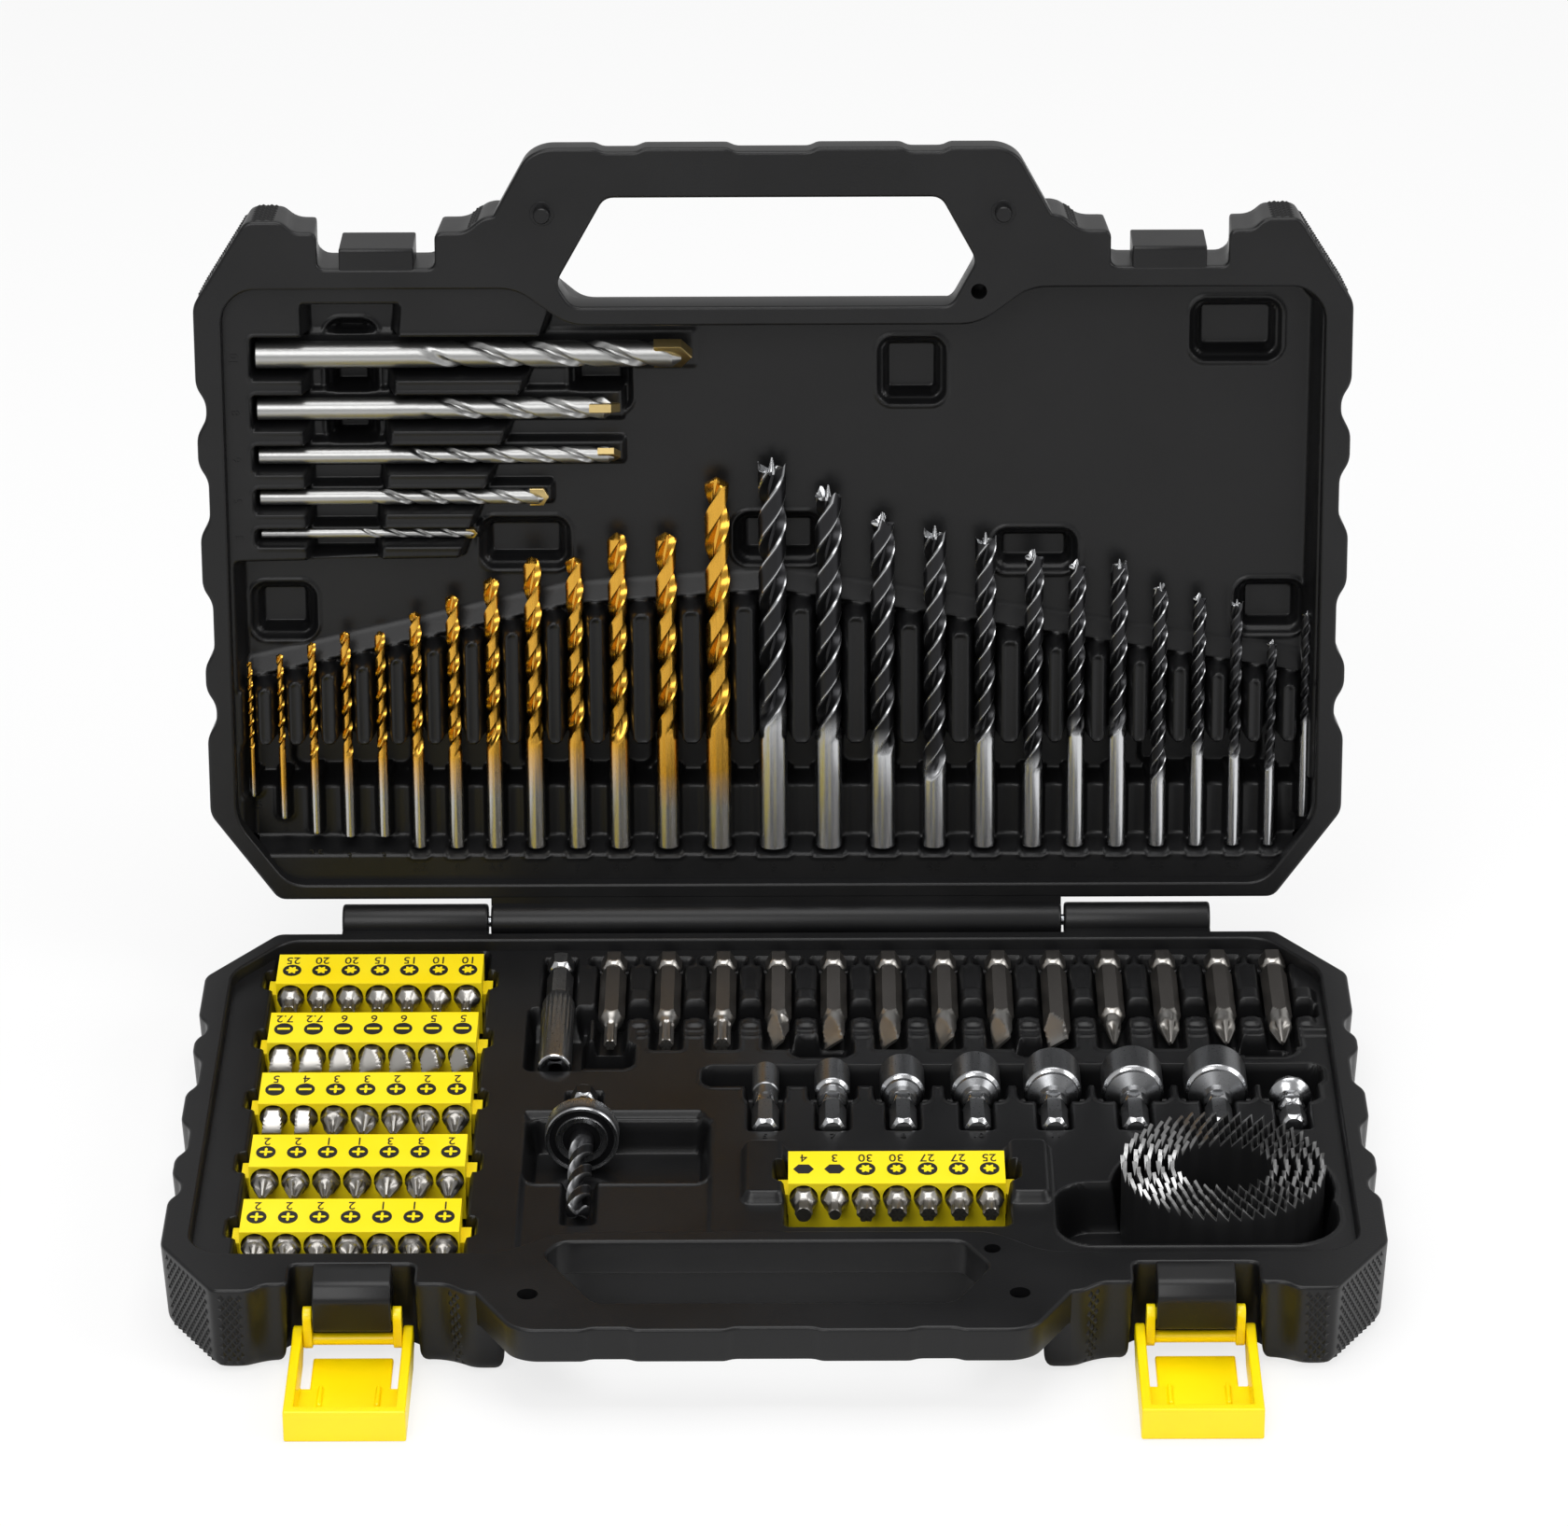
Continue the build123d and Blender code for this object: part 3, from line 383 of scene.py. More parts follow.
# %% Round outlines
def rounded(corners, radius, step, closed=True):
    """Evenly spaced points along a line of corners. Each corner becomes a quadratic curve from one side to
    the next: (1-t)^2 start + 2t(1-t) corner + t^2 end."""
    c = np.asarray(corners, float)
    before, after = np.roll(c, 1, 0), np.roll(c, -1, 0)
    to_before, to_after = before - c, after - c
    len_before = np.linalg.norm(to_before, axis=1)
    len_after = np.linalg.norm(to_after, axis=1)
    reach = np.minimum(np.zeros(len(c)) + radius, 0.48 * np.minimum(len_before, len_after))
    if not closed:
        reach[[0, -1]] = 0
    start = c + to_before * (reach / len_before)[:, None]
    end = c + to_after * (reach / len_after)[:, None]
    t = np.linspace(0, 1, 9)[None, :, None]
    line = (1 - t) ** 2 * start[:, None] + 2 * t * (1 - t) * c[:, None] + t ** 2 * end[:, None]
    line = line.reshape(-1, 2)
    if closed:
        line = np.concatenate([line, line[:1]])
    length = np.concatenate([[0], np.cumsum(np.hypot(*np.diff(line, axis=0).T))])
    count = max(int(round(length[-1] / step)), 8)
    at = np.linspace(0, length[-1], count + 1)
    even = np.stack([np.interp(at, length, line[:, 0]), np.interp(at, length, line[:, 1])], -1)
    return even[:-1] if closed else even


def mirrored(right):
    """A whole outline from its right half: the half, then the half again with u turned round, backwards."""
    return right + [(-u, v) for u, v in reversed(right)]


lip_corners = mirrored([(137, 11), (151, 30), (151, 178.5), (145, 184.5), (70, 184.5), (56, 174)])
lip = rounded(lip_corners, 5.0, 0.9)
print("the lip has", len(lip), "points")

# %% [markdown]
# ### From depths to a skin
#
# The grid is as fine as the smallest rounded edge, 0.6 mm. Its squares outside the lip are dropped, with
# a margin that the rim covers. The skin's normals come from the slope of the depths, which keeps its
# shading smooth where the walls are steep, and it is kept in tiles so no piece grows too large.

# %% Tray skin
def tray(name, rim, u, v, depth, body, tiles=2):
    """A skin over the depths. Its normal is minus the depth direction plus the slopes along u and v."""
    slope_v, slope_u = np.gradient(depth, v[:, 0], u[0])
    normal = (slope_u[..., None] * rim[0] + slope_v[..., None] * rim[1] - rim[2])
    normal /= np.linalg.norm(normal, axis=-1, keepdims=True)
    points = place(rim, u, v, depth)
    kept = polygon_distance(u, v, [tuple(c) for c in lip_corners]) < 1.6
    edges = np.linspace(0, u.shape[1] - 1, tiles + 1).astype(int)
    for tile, (first, last) in enumerate(zip(edges[:-1], edges[1:])):
        part = slice(first, last + 1)
        shape = sheet(points[:, part])
        keep = kept[:, part].ravel()
        shape.quads = shape.quads[keep[shape.quads].all(1)]
        used = np.unique(shape.quads)
        number = np.full(len(shape.points), -1)
        number[used] = np.arange(len(used))
        flat_normal = normal[:, part].reshape(-1, 3)[used]
        shape = Shape(shape.points[used], number[shape.quads]).facing(flat_normal)
        build(f"{name}_{tile + 1}", shape, body, case_plastic, normals=flat_normal)
    print(name, u.shape, "points, depths", depth.min().round(1), "to", depth.max().round(1))


STEP = 0.6
tray_u, tray_v = np.meshgrid(np.arange(-153.0, 153.01, STEP), np.arange(9.0, 187.01, STEP))

# %% [markdown]
# ### Where the drill bits lie
#
# The twist drills stand in a row left of the middle, the brad point drills right of it, and the masonry
# drills lie across the top left corner. Their places are sums: each gap added to half of both neighbours'
# diameters. The wide gaps belong to bits of 6 mm and more.

# %% Places of the drill bits
MIDDLE_BIT, MIDDLE_U, COARSE, WIDE_GAP, NARROW_GAP = 8.0, -0.6, 6, 7.8, 6.7


def bit_row(sizes, direction):
    """Places that start beside the 8 mm bit and add a gap and two half diameters for each next bit."""
    places, u, last = [], MIDDLE_U, MIDDLE_BIT
    for size in sizes:
        gap = WIDE_GAP if max(size, last) >= COARSE else NARROW_GAP
        u += direction * (gap + (size + last) / 2)
        places.append((size, u))
        last = size
    return places


twist_rise = {3: 3.3, 2.5: 4.1, 2: 8.7, 1.5: 15.4}
twist_length = {1.5: 40, 2: 49, 2.5: 57, 3: 61, 3.5: 70, 4: 75, 4.5: 80, 5: 86, 5.5: 93, 6: 93, 7: 109}
brad_length = {3: 61, 3.5: 73, 4: 75, 4.5: 78, 5: 85, 5.5: 88, 6: 93, 6.5: 95, 7: 99, 7.5: 107, 8: 115}
masonry_length = {10: 120, 8: 100, 6: 100, 5: 80, 3: 60}
TAIL_V, BIT_DEPTH, MASONRY_U = 19.5, 8.0, -142.3
twist_places = [(size, u, TAIL_V + twist_rise.get(size, 0), twist_length[size])
                for size, u in bit_row([7, 6, 5.5, 5, 5, 4.5, 4, 3.5, 3, 3, 2.5, 2, 1.5], -1)]
brad_places = [(size, u, TAIL_V, brad_length[size])
               for size, u in [(8, MIDDLE_U)] + bit_row([7.5, 7, 6.5, 6, 5.5, 5, 5, 4.5, 4, 3.5, 3, 3], 1)]
brad_places[-1] = (3, brad_places[-1][1], TAIL_V + 8.5, 61)
masonry_places, across_v, last_size = [], 164.0, None
for size, length in masonry_length.items():
    across_v -= 6.5 + (size + last_size) / 2 if last_size else 0
    masonry_places.append((size, across_v, length))
    last_size = size
print("bits", len(twist_places), len(brad_places), [round(v, 1) for _, v, _ in masonry_places])

# %% [markdown]
# ### The lid's tray
#
# From the hinge up: a shelf with a notch for each shank, a trough for fingertips, a comb of tall
# pads with a bit between each pair, a sloping band where the pads end, and the deep floor with its square
# wells. A platform in the top left corner carries the masonry drills.

# %% Lid tray
COMB_TOP = ([-150, -57, 0, 32, 150], [74, 96, 100, 95, 75])


def lid_depths(u, v):
    """The depth at each place of the lid: levels let in one after the other, the last one on top."""
    depth = np.full(u.shape, 3.5)
    basin = [(-148, 37), (148, 37), (148.5, 178), (144, 183), (72, 183), (56, 173), (-56, 173), (-62, 183.5),
             (-148, 183.5)]
    depth = let_in(depth, 14.0, polygon_distance(u, v, basin) - 0.6, 3.0)
    comb_top = np.interp(u, *COMB_TOP)
    up = v - comb_top
    inside = box_distance(u, v, (-148, 148), (20, 190), 2.0)
    band = np.interp(up, [-7.5, -6.4, -5.4, -0.6, 0.6], [12.8, 12.8, 10.6, 13.6, 14.0])
    depth = np.where(up < 1.0, let_in(depth, band, inside, 3.0), depth)
    depth = let_in(depth, 19.0, box_distance(u, v, (-147.5, 147.5), (37.4, 53.5), 3.0), 3.2)
    platform = [(-153, 104.5), (-86.8, 105.5), (-58, 184.5), (-58, 190), (-153, 190)]
    depth = let_in(depth, 3.5, polygon_distance(u, v, platform), 2.6)
    inner = [(-128.5, 106), (-109.8, 106), (-104.6, 160), (-103, 178.5), (-128.5, 178.5)]
    depth = let_in(depth, 14.0, polygon_distance(u, v, inner), 2.6)
    for (u0, u1), (v0, v1) in (
        ((-123.0, -109.5), (137.0, 172.0)), ((-56.0, -39.5), (146.0, 162.0)), ((29.0, 47.2), (148.0, 166.2)),
        ((115.2, 139.4), (160.2, 176.8)), ((-81.5, -57.2), (100.5, 114.6)), ((-145.7, -128.4), (80.0, 95.8)),
        ((-10.8, 13.0), (101.5, 115.7)), ((61.0, 83.7), (99.0, 110.8)), ((128.7, 147.3), (80.5, 95.6)),
    ):
        edge = box_distance(u, v, (u0, u1), (v0, v1), 4.0)
        depth = let_in(depth, 16.0, edge, 1.6)
        depth = let_in(depth, 20.5, edge + 2.0, 1.6)
        depth = bead(depth, 0.5, edge - 0.9, 1.0)
    for u0, u1 in ((-136.0, -102.3), (-71.0, -34.4), (18.2, 33.9), (102.6, 136.4)):
        depth = let_in(depth, 21.3, box_distance(u, v, (u0, u1), (39.5, 50.5), 3.5), 1.8)
    row = sorted([(place_u, size) for size, place_u, _, _ in twist_places + brad_places])
    row = [(-152.5, 3.0)] + row + [(152.3, 2.4)]
    for (left, left_size), (right, right_size) in zip(row, row[1:]):
        pad = (left + left_size / 2 + 0.7, right - right_size / 2 - 0.7)
        top = np.interp(sum(pad) / 2, *COMB_TOP) - 6.8
        corner = min(2.6, (pad[1] - pad[0]) / 2 - 0.1)
        edge = box_distance(u, v, pad, (50.5, top), corner)
        depth = let_in(depth, 4.2, edge - 0.2, 2.4)
        depth = bead(depth, 0.45, edge + 1.2, 0.9)
    for size, place_u, tail, _ in twist_places + brad_places:
        half = size / 2 + 0.5
        slot = box_distance(u, v, (place_u - half, place_u + half), (tail - 0.6, 40.0), 0.8)
        depth = let_in(depth, BIT_DEPTH + size / 2 + 0.3, slot, 1.6)
        depth = np.where(v < 37, bead(depth, 0.35, slot - 1.1, 0.9), depth)
    for size, place_v, length in masonry_places:
        slot = box_distance(u, v, (MASONRY_U - 0.7, MASONRY_U + length + 1),
                            (place_v - size / 2 - 0.4, place_v + size / 2 + 0.4), 0.8)
        depth = np.minimum(let_in(depth, BIT_DEPTH + size / 2 + 0.3, slot, 1.6), np.maximum(depth, 14.0))
        depth = bead(depth, 0.35, slot - 1.1, 0.9, above=13.0)
    return depth


tray("lid_tray", LID, tray_u, tray_v, lid_depths(tray_u, tray_v), "lid")

# %% [markdown]
# ### The base's tray
#
# The base is busier: a deep pocket for the five bit bars, a row of slots for the power bits with blocks
# between them, a trough under the nut drivers' heads, the saw arbor's pocket, a seat for the front bar
# between two raised clamps, and the round pocket of the hole saws with a place for a finger.

# %% Base tray
BAR_PLACES = [(-110.0, 19.7 + 34.3 * i) for i in range(5)] + [(32.1, 132.5)]
POWER_U = [-45.2 + 15.3 * i for i in range(13)]
SOCKETS, socket_u = [], -2.6
for i, (size, bore) in enumerate(((7.3, 5), (9.6, 7), (12, 8), (13.4, 10), (15.5, 11), (16.6, 12), (17, 13))):
    SOCKETS.append((size, bore, socket_u))
    socket_u += 18.0 + 0.9 * i
COUNTERSINK_U, HOLDER_U, ARBOR_U, SAW_CENTRE = 138.6, -60.0, -51.4, (117.6, 146.8)


def base_depths(u, v):
    """The depth at each place of the base, let in level by level as on the lid."""
    depth = np.full(u.shape, 3.5)
    low = [(-66.5, 104.5), (-20.5, 104.5), (-17.0, 110), (-17.0, 176), (-66.5, 176)]
    depth = let_in(depth, 5.2, polygon_distance(u, v, low), 2.0)
    depth = let_in(depth, 17.0, box_distance(u, v, (-139.1, -80.9), (12.2, 184.0), 2.0), 1.8)
    for bar_u, bar_v in BAR_PLACES[:5]:
        middle = bar_v + 8.65
        notch = box_distance(u, v, (bar_u - 31.7, bar_u + 31.7), (middle - 4.8, middle + 4.8), 1.5)
        depth = cut(depth, 12.6, notch, 1.6)
    depth = bead(depth, 0.5, np.abs(v - 58.8) + np.where(u < -38, 50, 0), 1.2)
    depth = bead(depth, 0.5, np.abs(v - 62.6) + np.where(u < -38, 50, 0), 1.2)
    depth = let_in(depth, 12.0, box_distance(u, v, (-54.5, 148.5), (44.8, 51.6), 1.2), 2.0)
    for (u0, u1), (v0, v1) in (((-54.5, -39.0), (66.0, 79.9)), ((5.0, 20.7), (63.4, 74.0)),
                               ((66.0, 76.0), (65.0, 74.0)), ((126.2, 141.0), (64.4, 74.0))):
        edge = box_distance(u, v, (u0, u1), (v0, v1), 3.0)
        depth = let_in(depth, 15.8, edge + 0.3, 2.4)
        depth = bead(depth, 0.4, edge - 1.0, 0.9)
    for left, right in zip(POWER_U, POWER_U[1:] + [153.5]):
        block = box_distance(u, v, (left + 5.0, right - 5.0), (36.4, 44.2), 1.6)
        depth = let_in(depth, 1.8, block, 2.2)
        block = box_distance(u, v, (left + 5.6, right - 5.6), (52.2, 56.6), 1.6)
        depth = let_in(depth, 2.6, block, 2.0)
    for place_u in POWER_U:
        slot = box_distance(u, v, (place_u - 4.0, place_u + 4.0), (16.4, 69.5), 0.8)
        slot = np.minimum(slot, box_distance(u, v, (place_u - 6.2, place_u + 6.2), (16.4, 20.2), 0.8))
        depth = cut(depth, 7.5, slot, 1.4)
        depth = bead(depth, 0.35, slot - 1.1, 0.9, above=7.0)
    holder = box_distance(u, v, (-67.4, -51.8), (45.6, 80.6), 1.6)
    holder = np.minimum(holder, box_distance(u, v, (-64.2, -55.8), (16.4, 50), 0.8))
    holder_floor = np.interp(v, [46, 50], [8.2, 12.0])
    depth = cut(depth, holder_floor, holder, 1.8)
    heads = box_distance(u, v, (-19.0, 147.0), (80.2, 90.0), 3.0)
    for size, _, place_u in SOCKETS:
        reach = size / 2 + 0.9
        heads = np.minimum(heads, box_distance(u, v, (place_u - reach, place_u + reach), (80.2, 99.0), 2.4))
    sink = box_distance(u, v, (COUNTERSINK_U - 6.8, COUNTERSINK_U + 6.8), (80.2, 99.4), 2.4)
    heads = np.minimum(heads, sink)
    depth = cut(depth, 13.2, heads, 2.2)
    for place_u in [s[2] for s in SOCKETS] + [COUNTERSINK_U]:
        slot = box_distance(u, v, (place_u - 4.2, place_u + 4.2), (90, 114.6), 0.8)
        depth = cut(depth, 8.0, slot, 1.4)
    depth = bead(depth, 0.45, heads - 1.3, 0.9, above=6.5)
    shank = box_distance(u, v, (ARBOR_U - 4.6, ARBOR_U + 4.6), (93.6, 110), 0.8)
    depth = cut(depth, 7.6, shank, 1.4)
    pocket = box_distance(u, v, (-65.2, -18.8), (107.6, 139.2), 3.0)
    depth = cut(depth, 13.9, pocket, 2.4)
    depth = bead(depth, 0.5, pocket - 1.4, 0.9, above=6.5)
    pilot = box_distance(u, v, (ARBOR_U - 4.1, ARBOR_U + 4.1), (136, 161.5), 0.8)
    depth = cut(depth, 7.4, pilot, 1.4)
    depth = cut(depth, 16.4, box_distance(u, v, (3.2, 61.0), (132.2, 165.5), 1.5), 1.6)
    ears = box_distance(u, v, (0.4, 63.8), (136.2, 146.0), 1.2)
    for side in (-1, 1):
        clamp_u = BAR_PLACES[5][0] + side * 34.9
        clamp = box_distance(u, v, (clamp_u - 5.4, clamp_u + 5.4), (124.0, 153.6), 2.4)
        depth = np.where(ears < 0.4, depth, let_in(depth, 0.6, clamp, 2.2))
    depth = cut(depth, 12.6, ears, 1.4)
    across = np.hypot(u - SAW_CENTRE[0], v - SAW_CENTRE[1])
    saws = np.minimum(across - 27.9, box_distance(u, v, (89.6, 145.6), (146.8, 175.0), 12.0))
    finger = box_distance(u, v, (74.6, 110), (145.2, 175.0), 9.0)
    saws = np.minimum(saws, finger)
    depth = cut(depth, 17.0, saws, 2.6)
    depth = bead(depth, 0.5, saws - 1.5, 0.9, above=6.5)
    return depth


tray("base_tray", BASE, tray_u, tray_v, base_depths(tray_u, tray_v), "base")

# %% [markdown]
# ## The shells around the trays
#
# Each shell has a flat rim, a rounded edge, a wall with a little draft so it leaves its mould, and a
# rounded back. The wall is a profile carried round the outline: at each depth the line moves inwards by
# the profile's inset. The handle is only a slab, so the outline is kept in three runs: the body, the
# handle, and the notch behind the handle. They share their end points and so fit without gaps.

# %% Outlines of the shells
RIM, BACK, SLAB = 0.15, 25.0, 10.0
PIN_U, PIN_V, TAB_HALF, BARREL, KNUCKLE_U = 62.7, 205.8, 10.1, 5.0, 80.2
LATCH_U, BAY, SHOULDER = 108.1, 16.0, (76.0, 205.2)
grips = [(158.5, 32.0)]
for start, end in ((55.0, 69.0), (76.0, 99.0), (114.0, 134.5), (143.0, 157.0)):
    grips += [(158.5, start), (155.8, start + 4.5), (155.8, end - 4.5), (158.5, end)]
front_edge = [(158.5, 180.0), (143.5, 203.8), (133.5, 203.8), (130.5, 200.6), (LATCH_U + BAY, 200.6),
              (LATCH_U + BAY, 190.4), (LATCH_U - BAY, 190.4), (LATCH_U - BAY, 200.6), (84.0, 200.6),
              (79.0, 204.6), SHOULDER]
body_half = [(0.0, 6.5), (140.0, 6.5)] + grips + front_edge
body_line = [(-u, v) for u, v in reversed(body_half)] + body_half[1:]
handle_half = [SHOULDER, (67.0, 221.5), (62.0, 224.0), (48.0, 224.0), (46.0, 222.9), (37.0, 222.9),
               (35.0, 224.0), (12.0, 224.0), (10.0, 222.9), (0.0, 222.9)]
handle_line = handle_half + [(-u, v) for u, v in reversed(handle_half[:-1])]
notch_half = [SHOULDER, (68.0, 204.7), (68.0, 188.0), (62.0, 186.0), (52.0, 177.5), (0.0, 177.5)]
notch_line = notch_half + [(-u, v) for u, v in reversed(notch_half[:-1])]
handle_hole = [(-45.7, 210.0), (45.7, 210.0), (55.5, 192.0), (48.6, 179.4), (-55.0, 179.4), (-59.2, 186.0)]
body_run = rounded(body_line, 2.2, 0.85, closed=False)
handle_run = rounded(handle_line, 3.0, 0.85, closed=False)
notch_run = rounded(notch_line, 2.5, 0.85, closed=False)
print("runs of", len(body_run), len(handle_run), len(notch_run), "points")


def outward_of(line, closed):
    """Unit vectors square to a line of points, to its right: the step between neighbours, turned."""
    if closed:
        step = np.roll(line, -1, 0) - np.roll(line, 1, 0)
    else:
        step = np.gradient(line, axis=0)
    step /= np.linalg.norm(step, axis=1, keepdims=True)
    return np.stack([step[:, 1], -step[:, 0]], -1)


def wall(rim, line, side, depths, insets, closed=False):
    """A wall: the line moved inwards by the inset at each depth."""
    depths, insets = np.asarray(depths, float)[:, None], np.asarray(insets, float)[..., None]
    moved = line[None] - insets * side[None]
    points = place(rim, moved[..., 0], moved[..., 1], depths)
    toward = np.broadcast_to((side @ rim[:2])[None], points.shape)
    return sheet(points, ring=closed).facing(toward.reshape(-1, 3))


# %% [markdown]
# The rim, the slab's back and the case's back are flat faces with holes, which a grid can't follow. A
# Delaunay triangulation fills the outlines' points with triangles, and the triangles whose middle lies
# in a hole or outside are dropped.

# %% Flat faces between outlines
def flat_face(rim, depth, outlines, up):
    """Triangles between closed outlines at one depth: those whose middle lies inside an odd number."""
    corners = np.concatenate(outlines)
    starts = np.cumsum([0] + [len(line) for line in outlines])
    edges = []
    for start, end in zip(starts[:-1], starts[1:]):
        ring = np.arange(start, end)
        edges += np.stack([ring, np.roll(ring, -1)], -1).tolist()
    points, _, faces, *_ = delaunay_2d_cdt([Vector(c) for c in corners], edges, [], 0, 1e-5)
    points, faces = np.array([tuple(p) for p in points]), np.array([f for f in faces if len(f) == 3])
    middle = points[faces].mean(1)
    inside = np.zeros(len(faces), int)
    for line in outlines:
        inside += polygon_distance(middle[:, 0], middle[:, 1], [tuple(c) for c in line]) < 0
    shape = Shape(place(rim, points[:, 0], points[:, 1], depth), triangles=faces[inside % 2 == 1])
    return shape.facing(-rim[2] if up else rim[2])


def circle(u, v, radius, count=32):
    """Points (u, v) plus the radius times cosine and sine of even steps of a whole turn."""
    angle = np.linspace(0, 2 * math.pi, count, endpoint=False)
    return np.stack([u + radius * np.cos(angle), v + radius * np.sin(angle)], -1)


flat_ring = flat_face(BASE, 0, [circle(0, 0, 5), circle(0, 0, 3)], True)
print("a flat ring has", len(flat_ring.triangles), "triangles")

# %% [markdown]
# ### Both shells
#
# The profile goes from the rim's rounding down the draft to the back's rounding. Towards the back the
# line is smoothed more and more, as blow-moulded corners get rounder the further the plastic stretched.

# %% Shell walls
def smoothed(line, amount):
    """A closed line blurred along itself: each point becomes a bell-weighted mean of its neighbours."""
    if amount < 0.5:
        return line
    reach = int(amount * 3) + 1
    weight = np.exp(-0.5 * (np.arange(-reach, reach + 1) / amount) ** 2)
    weight /= weight.sum()
    padded = np.concatenate([line[-reach:], line, line[:reach]])
    return np.stack([np.convolve(padded[:, i], weight, "valid") for i in (0, 1)], -1)


RIM_EDGE, LIP_EDGE, BACK_EDGE, DRAFT = 0.9, 0.7, 4.0, 1.4


def quarter(size, count=5):
    """A rounded edge as (how far in, how far down): a quarter circle of this radius."""
    t = np.linspace(0, math.pi / 2, count)
    return size * (1 - np.sin(t)), size * (1 - np.cos(t))


def panel(rim, line, recess):
    """A sunk panel in the back: a sloping wall round the line, and its flat floor."""
    side = outward_of(line, True)
    t = np.linspace(0, 1, 7)
    ease = t * t * (3 - 2 * t)
    parts = [wall(rim, line, side, BACK - recess * ease, 2.2 * t[:, None], closed=True)]
    parts = [parts[0].facing(rim[2])]
    return parts + [flat_face(rim, BACK - recess, [line - 2.2 * side], False)]


def shell(rim, holes):
    """Rim, outer wall, handle slab, back and lip of one shell, as one shape."""
    front_ring = np.concatenate([body_run[:-1], handle_run[:-1]])
    back_ring = np.concatenate([body_run[:-1], notch_run[:-1]])
    front_side, back_side = outward_of(front_ring, True), outward_of(back_ring, True)
    lip_side = -outward_of(lip, True)
    hole = rounded(handle_hole, 2.6, 0.8)
    hole_side = outward_of(hole, True)
    in_, down = quarter(RIM_EDGE)
    outlines = [front_ring - RIM_EDGE * front_side, lip - LIP_EDGE * lip_side, hole - RIM_EDGE * hole_side]
    parts = [flat_face(rim, RIM, outlines + holes, True)]

    depths = np.concatenate([RIM + down, [3.0, 6.0], SLAB - down[::-1]])
    on_body = np.arange(len(front_ring)) < len(body_run)
    start, end = np.concatenate([in_, np.zeros(7)]), np.concatenate([np.zeros(7), in_[::-1]])
    insets = (start + DRAFT * depths / BACK)[:, None] + np.where(on_body[None], 0, end[:, None])
    parts.append(wall(rim, front_ring, front_side, depths, insets, closed=True))
    slab_edge = (front_ring - (RIM_EDGE + DRAFT * SLAB / BACK) * front_side)[len(body_run):]
    root = [(-74.0, 203.5), (-66.5, 203.5), (-66.5, 187.0), (-52.0, 176.5), (52.0, 176.5), (66.5, 187.0),
            (66.5, 203.5), (74.0, 203.5)]
    slab_outlines = [np.concatenate([slab_edge, root]), hole - RIM_EDGE * hole_side]
    parts.append(flat_face(rim, SLAB, slab_outlines, False))
    depths, insets = np.concatenate([RIM + down, SLAB - down[::-1]]), np.concatenate([in_, in_[::-1]])
    parts.append(wall(rim, hole, hole_side, depths, insets[:, None], closed=True))

    in_, down = quarter(BACK_EDGE, 7)
    depths = np.concatenate([[SLAB, 13.0, 17.0], BACK - down[::-1]])
    insets = DRAFT * depths / BACK + np.concatenate([np.zeros(3), in_[::-1]])
    blur = np.clip(insets - 0.6, 0, 4) * 1.1
    rings = [smoothed(back_ring, amount) for amount in blur]
    rings = np.stack([ring - inset * smoothed(back_side, amount)
                      for ring, inset, amount in zip(rings, insets, blur)])
    points = place(rim, rings[..., 0], rings[..., 1], depths[:, None])
    toward = np.broadcast_to((back_side @ rim[:2])[None], points.shape)
    parts.append(sheet(points, ring=True).facing(toward.reshape(-1, 3)))
    panel_line = rounded([(-118, 30), (118, 30), (132, 44), (132, 150), (118, 164), (-118, 164), (-132, 150),
                          (-132, 44)], 9.0, 1.5)
    parts.append(flat_face(rim, BACK, [rings[-1], panel_line], False))
    parts += panel(rim, panel_line, 1.2)

    in_, down = quarter(LIP_EDGE, 4)
    depths = np.concatenate([RIM + down, [4.6]])
    parts.append(wall(rim, lip, lip_side, depths, np.append(in_, -0.4)[:, None], closed=True))
    return parts


def tube_wall(rim, line, depths, insets):
    """The wall of a hole: the line's side points into the hole."""
    return wall(rim, line, -outward_of(line, True), depths, np.asarray(insets)[:, None], closed=True)


hang = circle(56.2, 183.5, 2.2)
pin_holes = [circle(end * PIN_U, PIN_V, 2.7) for end in (-1, 1)]
lid_parts = shell(LID, [hang])
base_parts = shell(BASE, [hang] + pin_holes)
for rim, parts in ((LID, lid_parts), (BASE, base_parts)):
    parts.append(tube_wall(rim, hang, [RIM, SLAB], [0, 0]))
for line in pin_holes:
    base_parts.append(tube_wall(BASE, line, [RIM, 4.5], [0, 0]))
    base_parts.append(flat_face(BASE, 4.5, [line], True))
print("shell parts", len(lid_parts), len(base_parts))


# %% [markdown]
# ### Hinge barrels, latch tabs and pins
#
# The barrels are round bars on short webs, the tabs are the small blocks that the latches hold. Each is
# a profile seen from the side, carried along u. The profile's corners are rounded before it is carried,
# and both ends are closed by a smaller copy of the profile, which gives them a soft edge too.

# %% Extruded pieces
def carried(rim, profile, u_range, edge=0.5):
    """A closed profile of (v, depth) carried along u, drawn in by the edge at both ends and capped."""
    line = np.asarray(profile, float)
    side = outward_of(line, True)
    area = np.sum(line[:, 0] * np.roll(line[:, 1], -1) - np.roll(line[:, 0], -1) * line[:, 1])
    side = side if area > 0 else -side
    in_, down = quarter(edge, 4)
    u = np.concatenate([u_range[0] + down, u_range[1] - down[::-1]])
    inset = np.concatenate([in_, in_[::-1]])
    rows = line[None] - inset[:, None, None] * side[None]
    points = place(rim, u[:, None], rows[..., 0], rows[..., 1])
    return sheet(points, ring=True, caps=True).outward()


def both(rim, profile, centre, half, edge=0.5):
    """The same extruded piece at the left and at the right."""
    return [carried(rim, profile, (end * centre - half, end * centre + half), edge) for end in (-1, 1)]


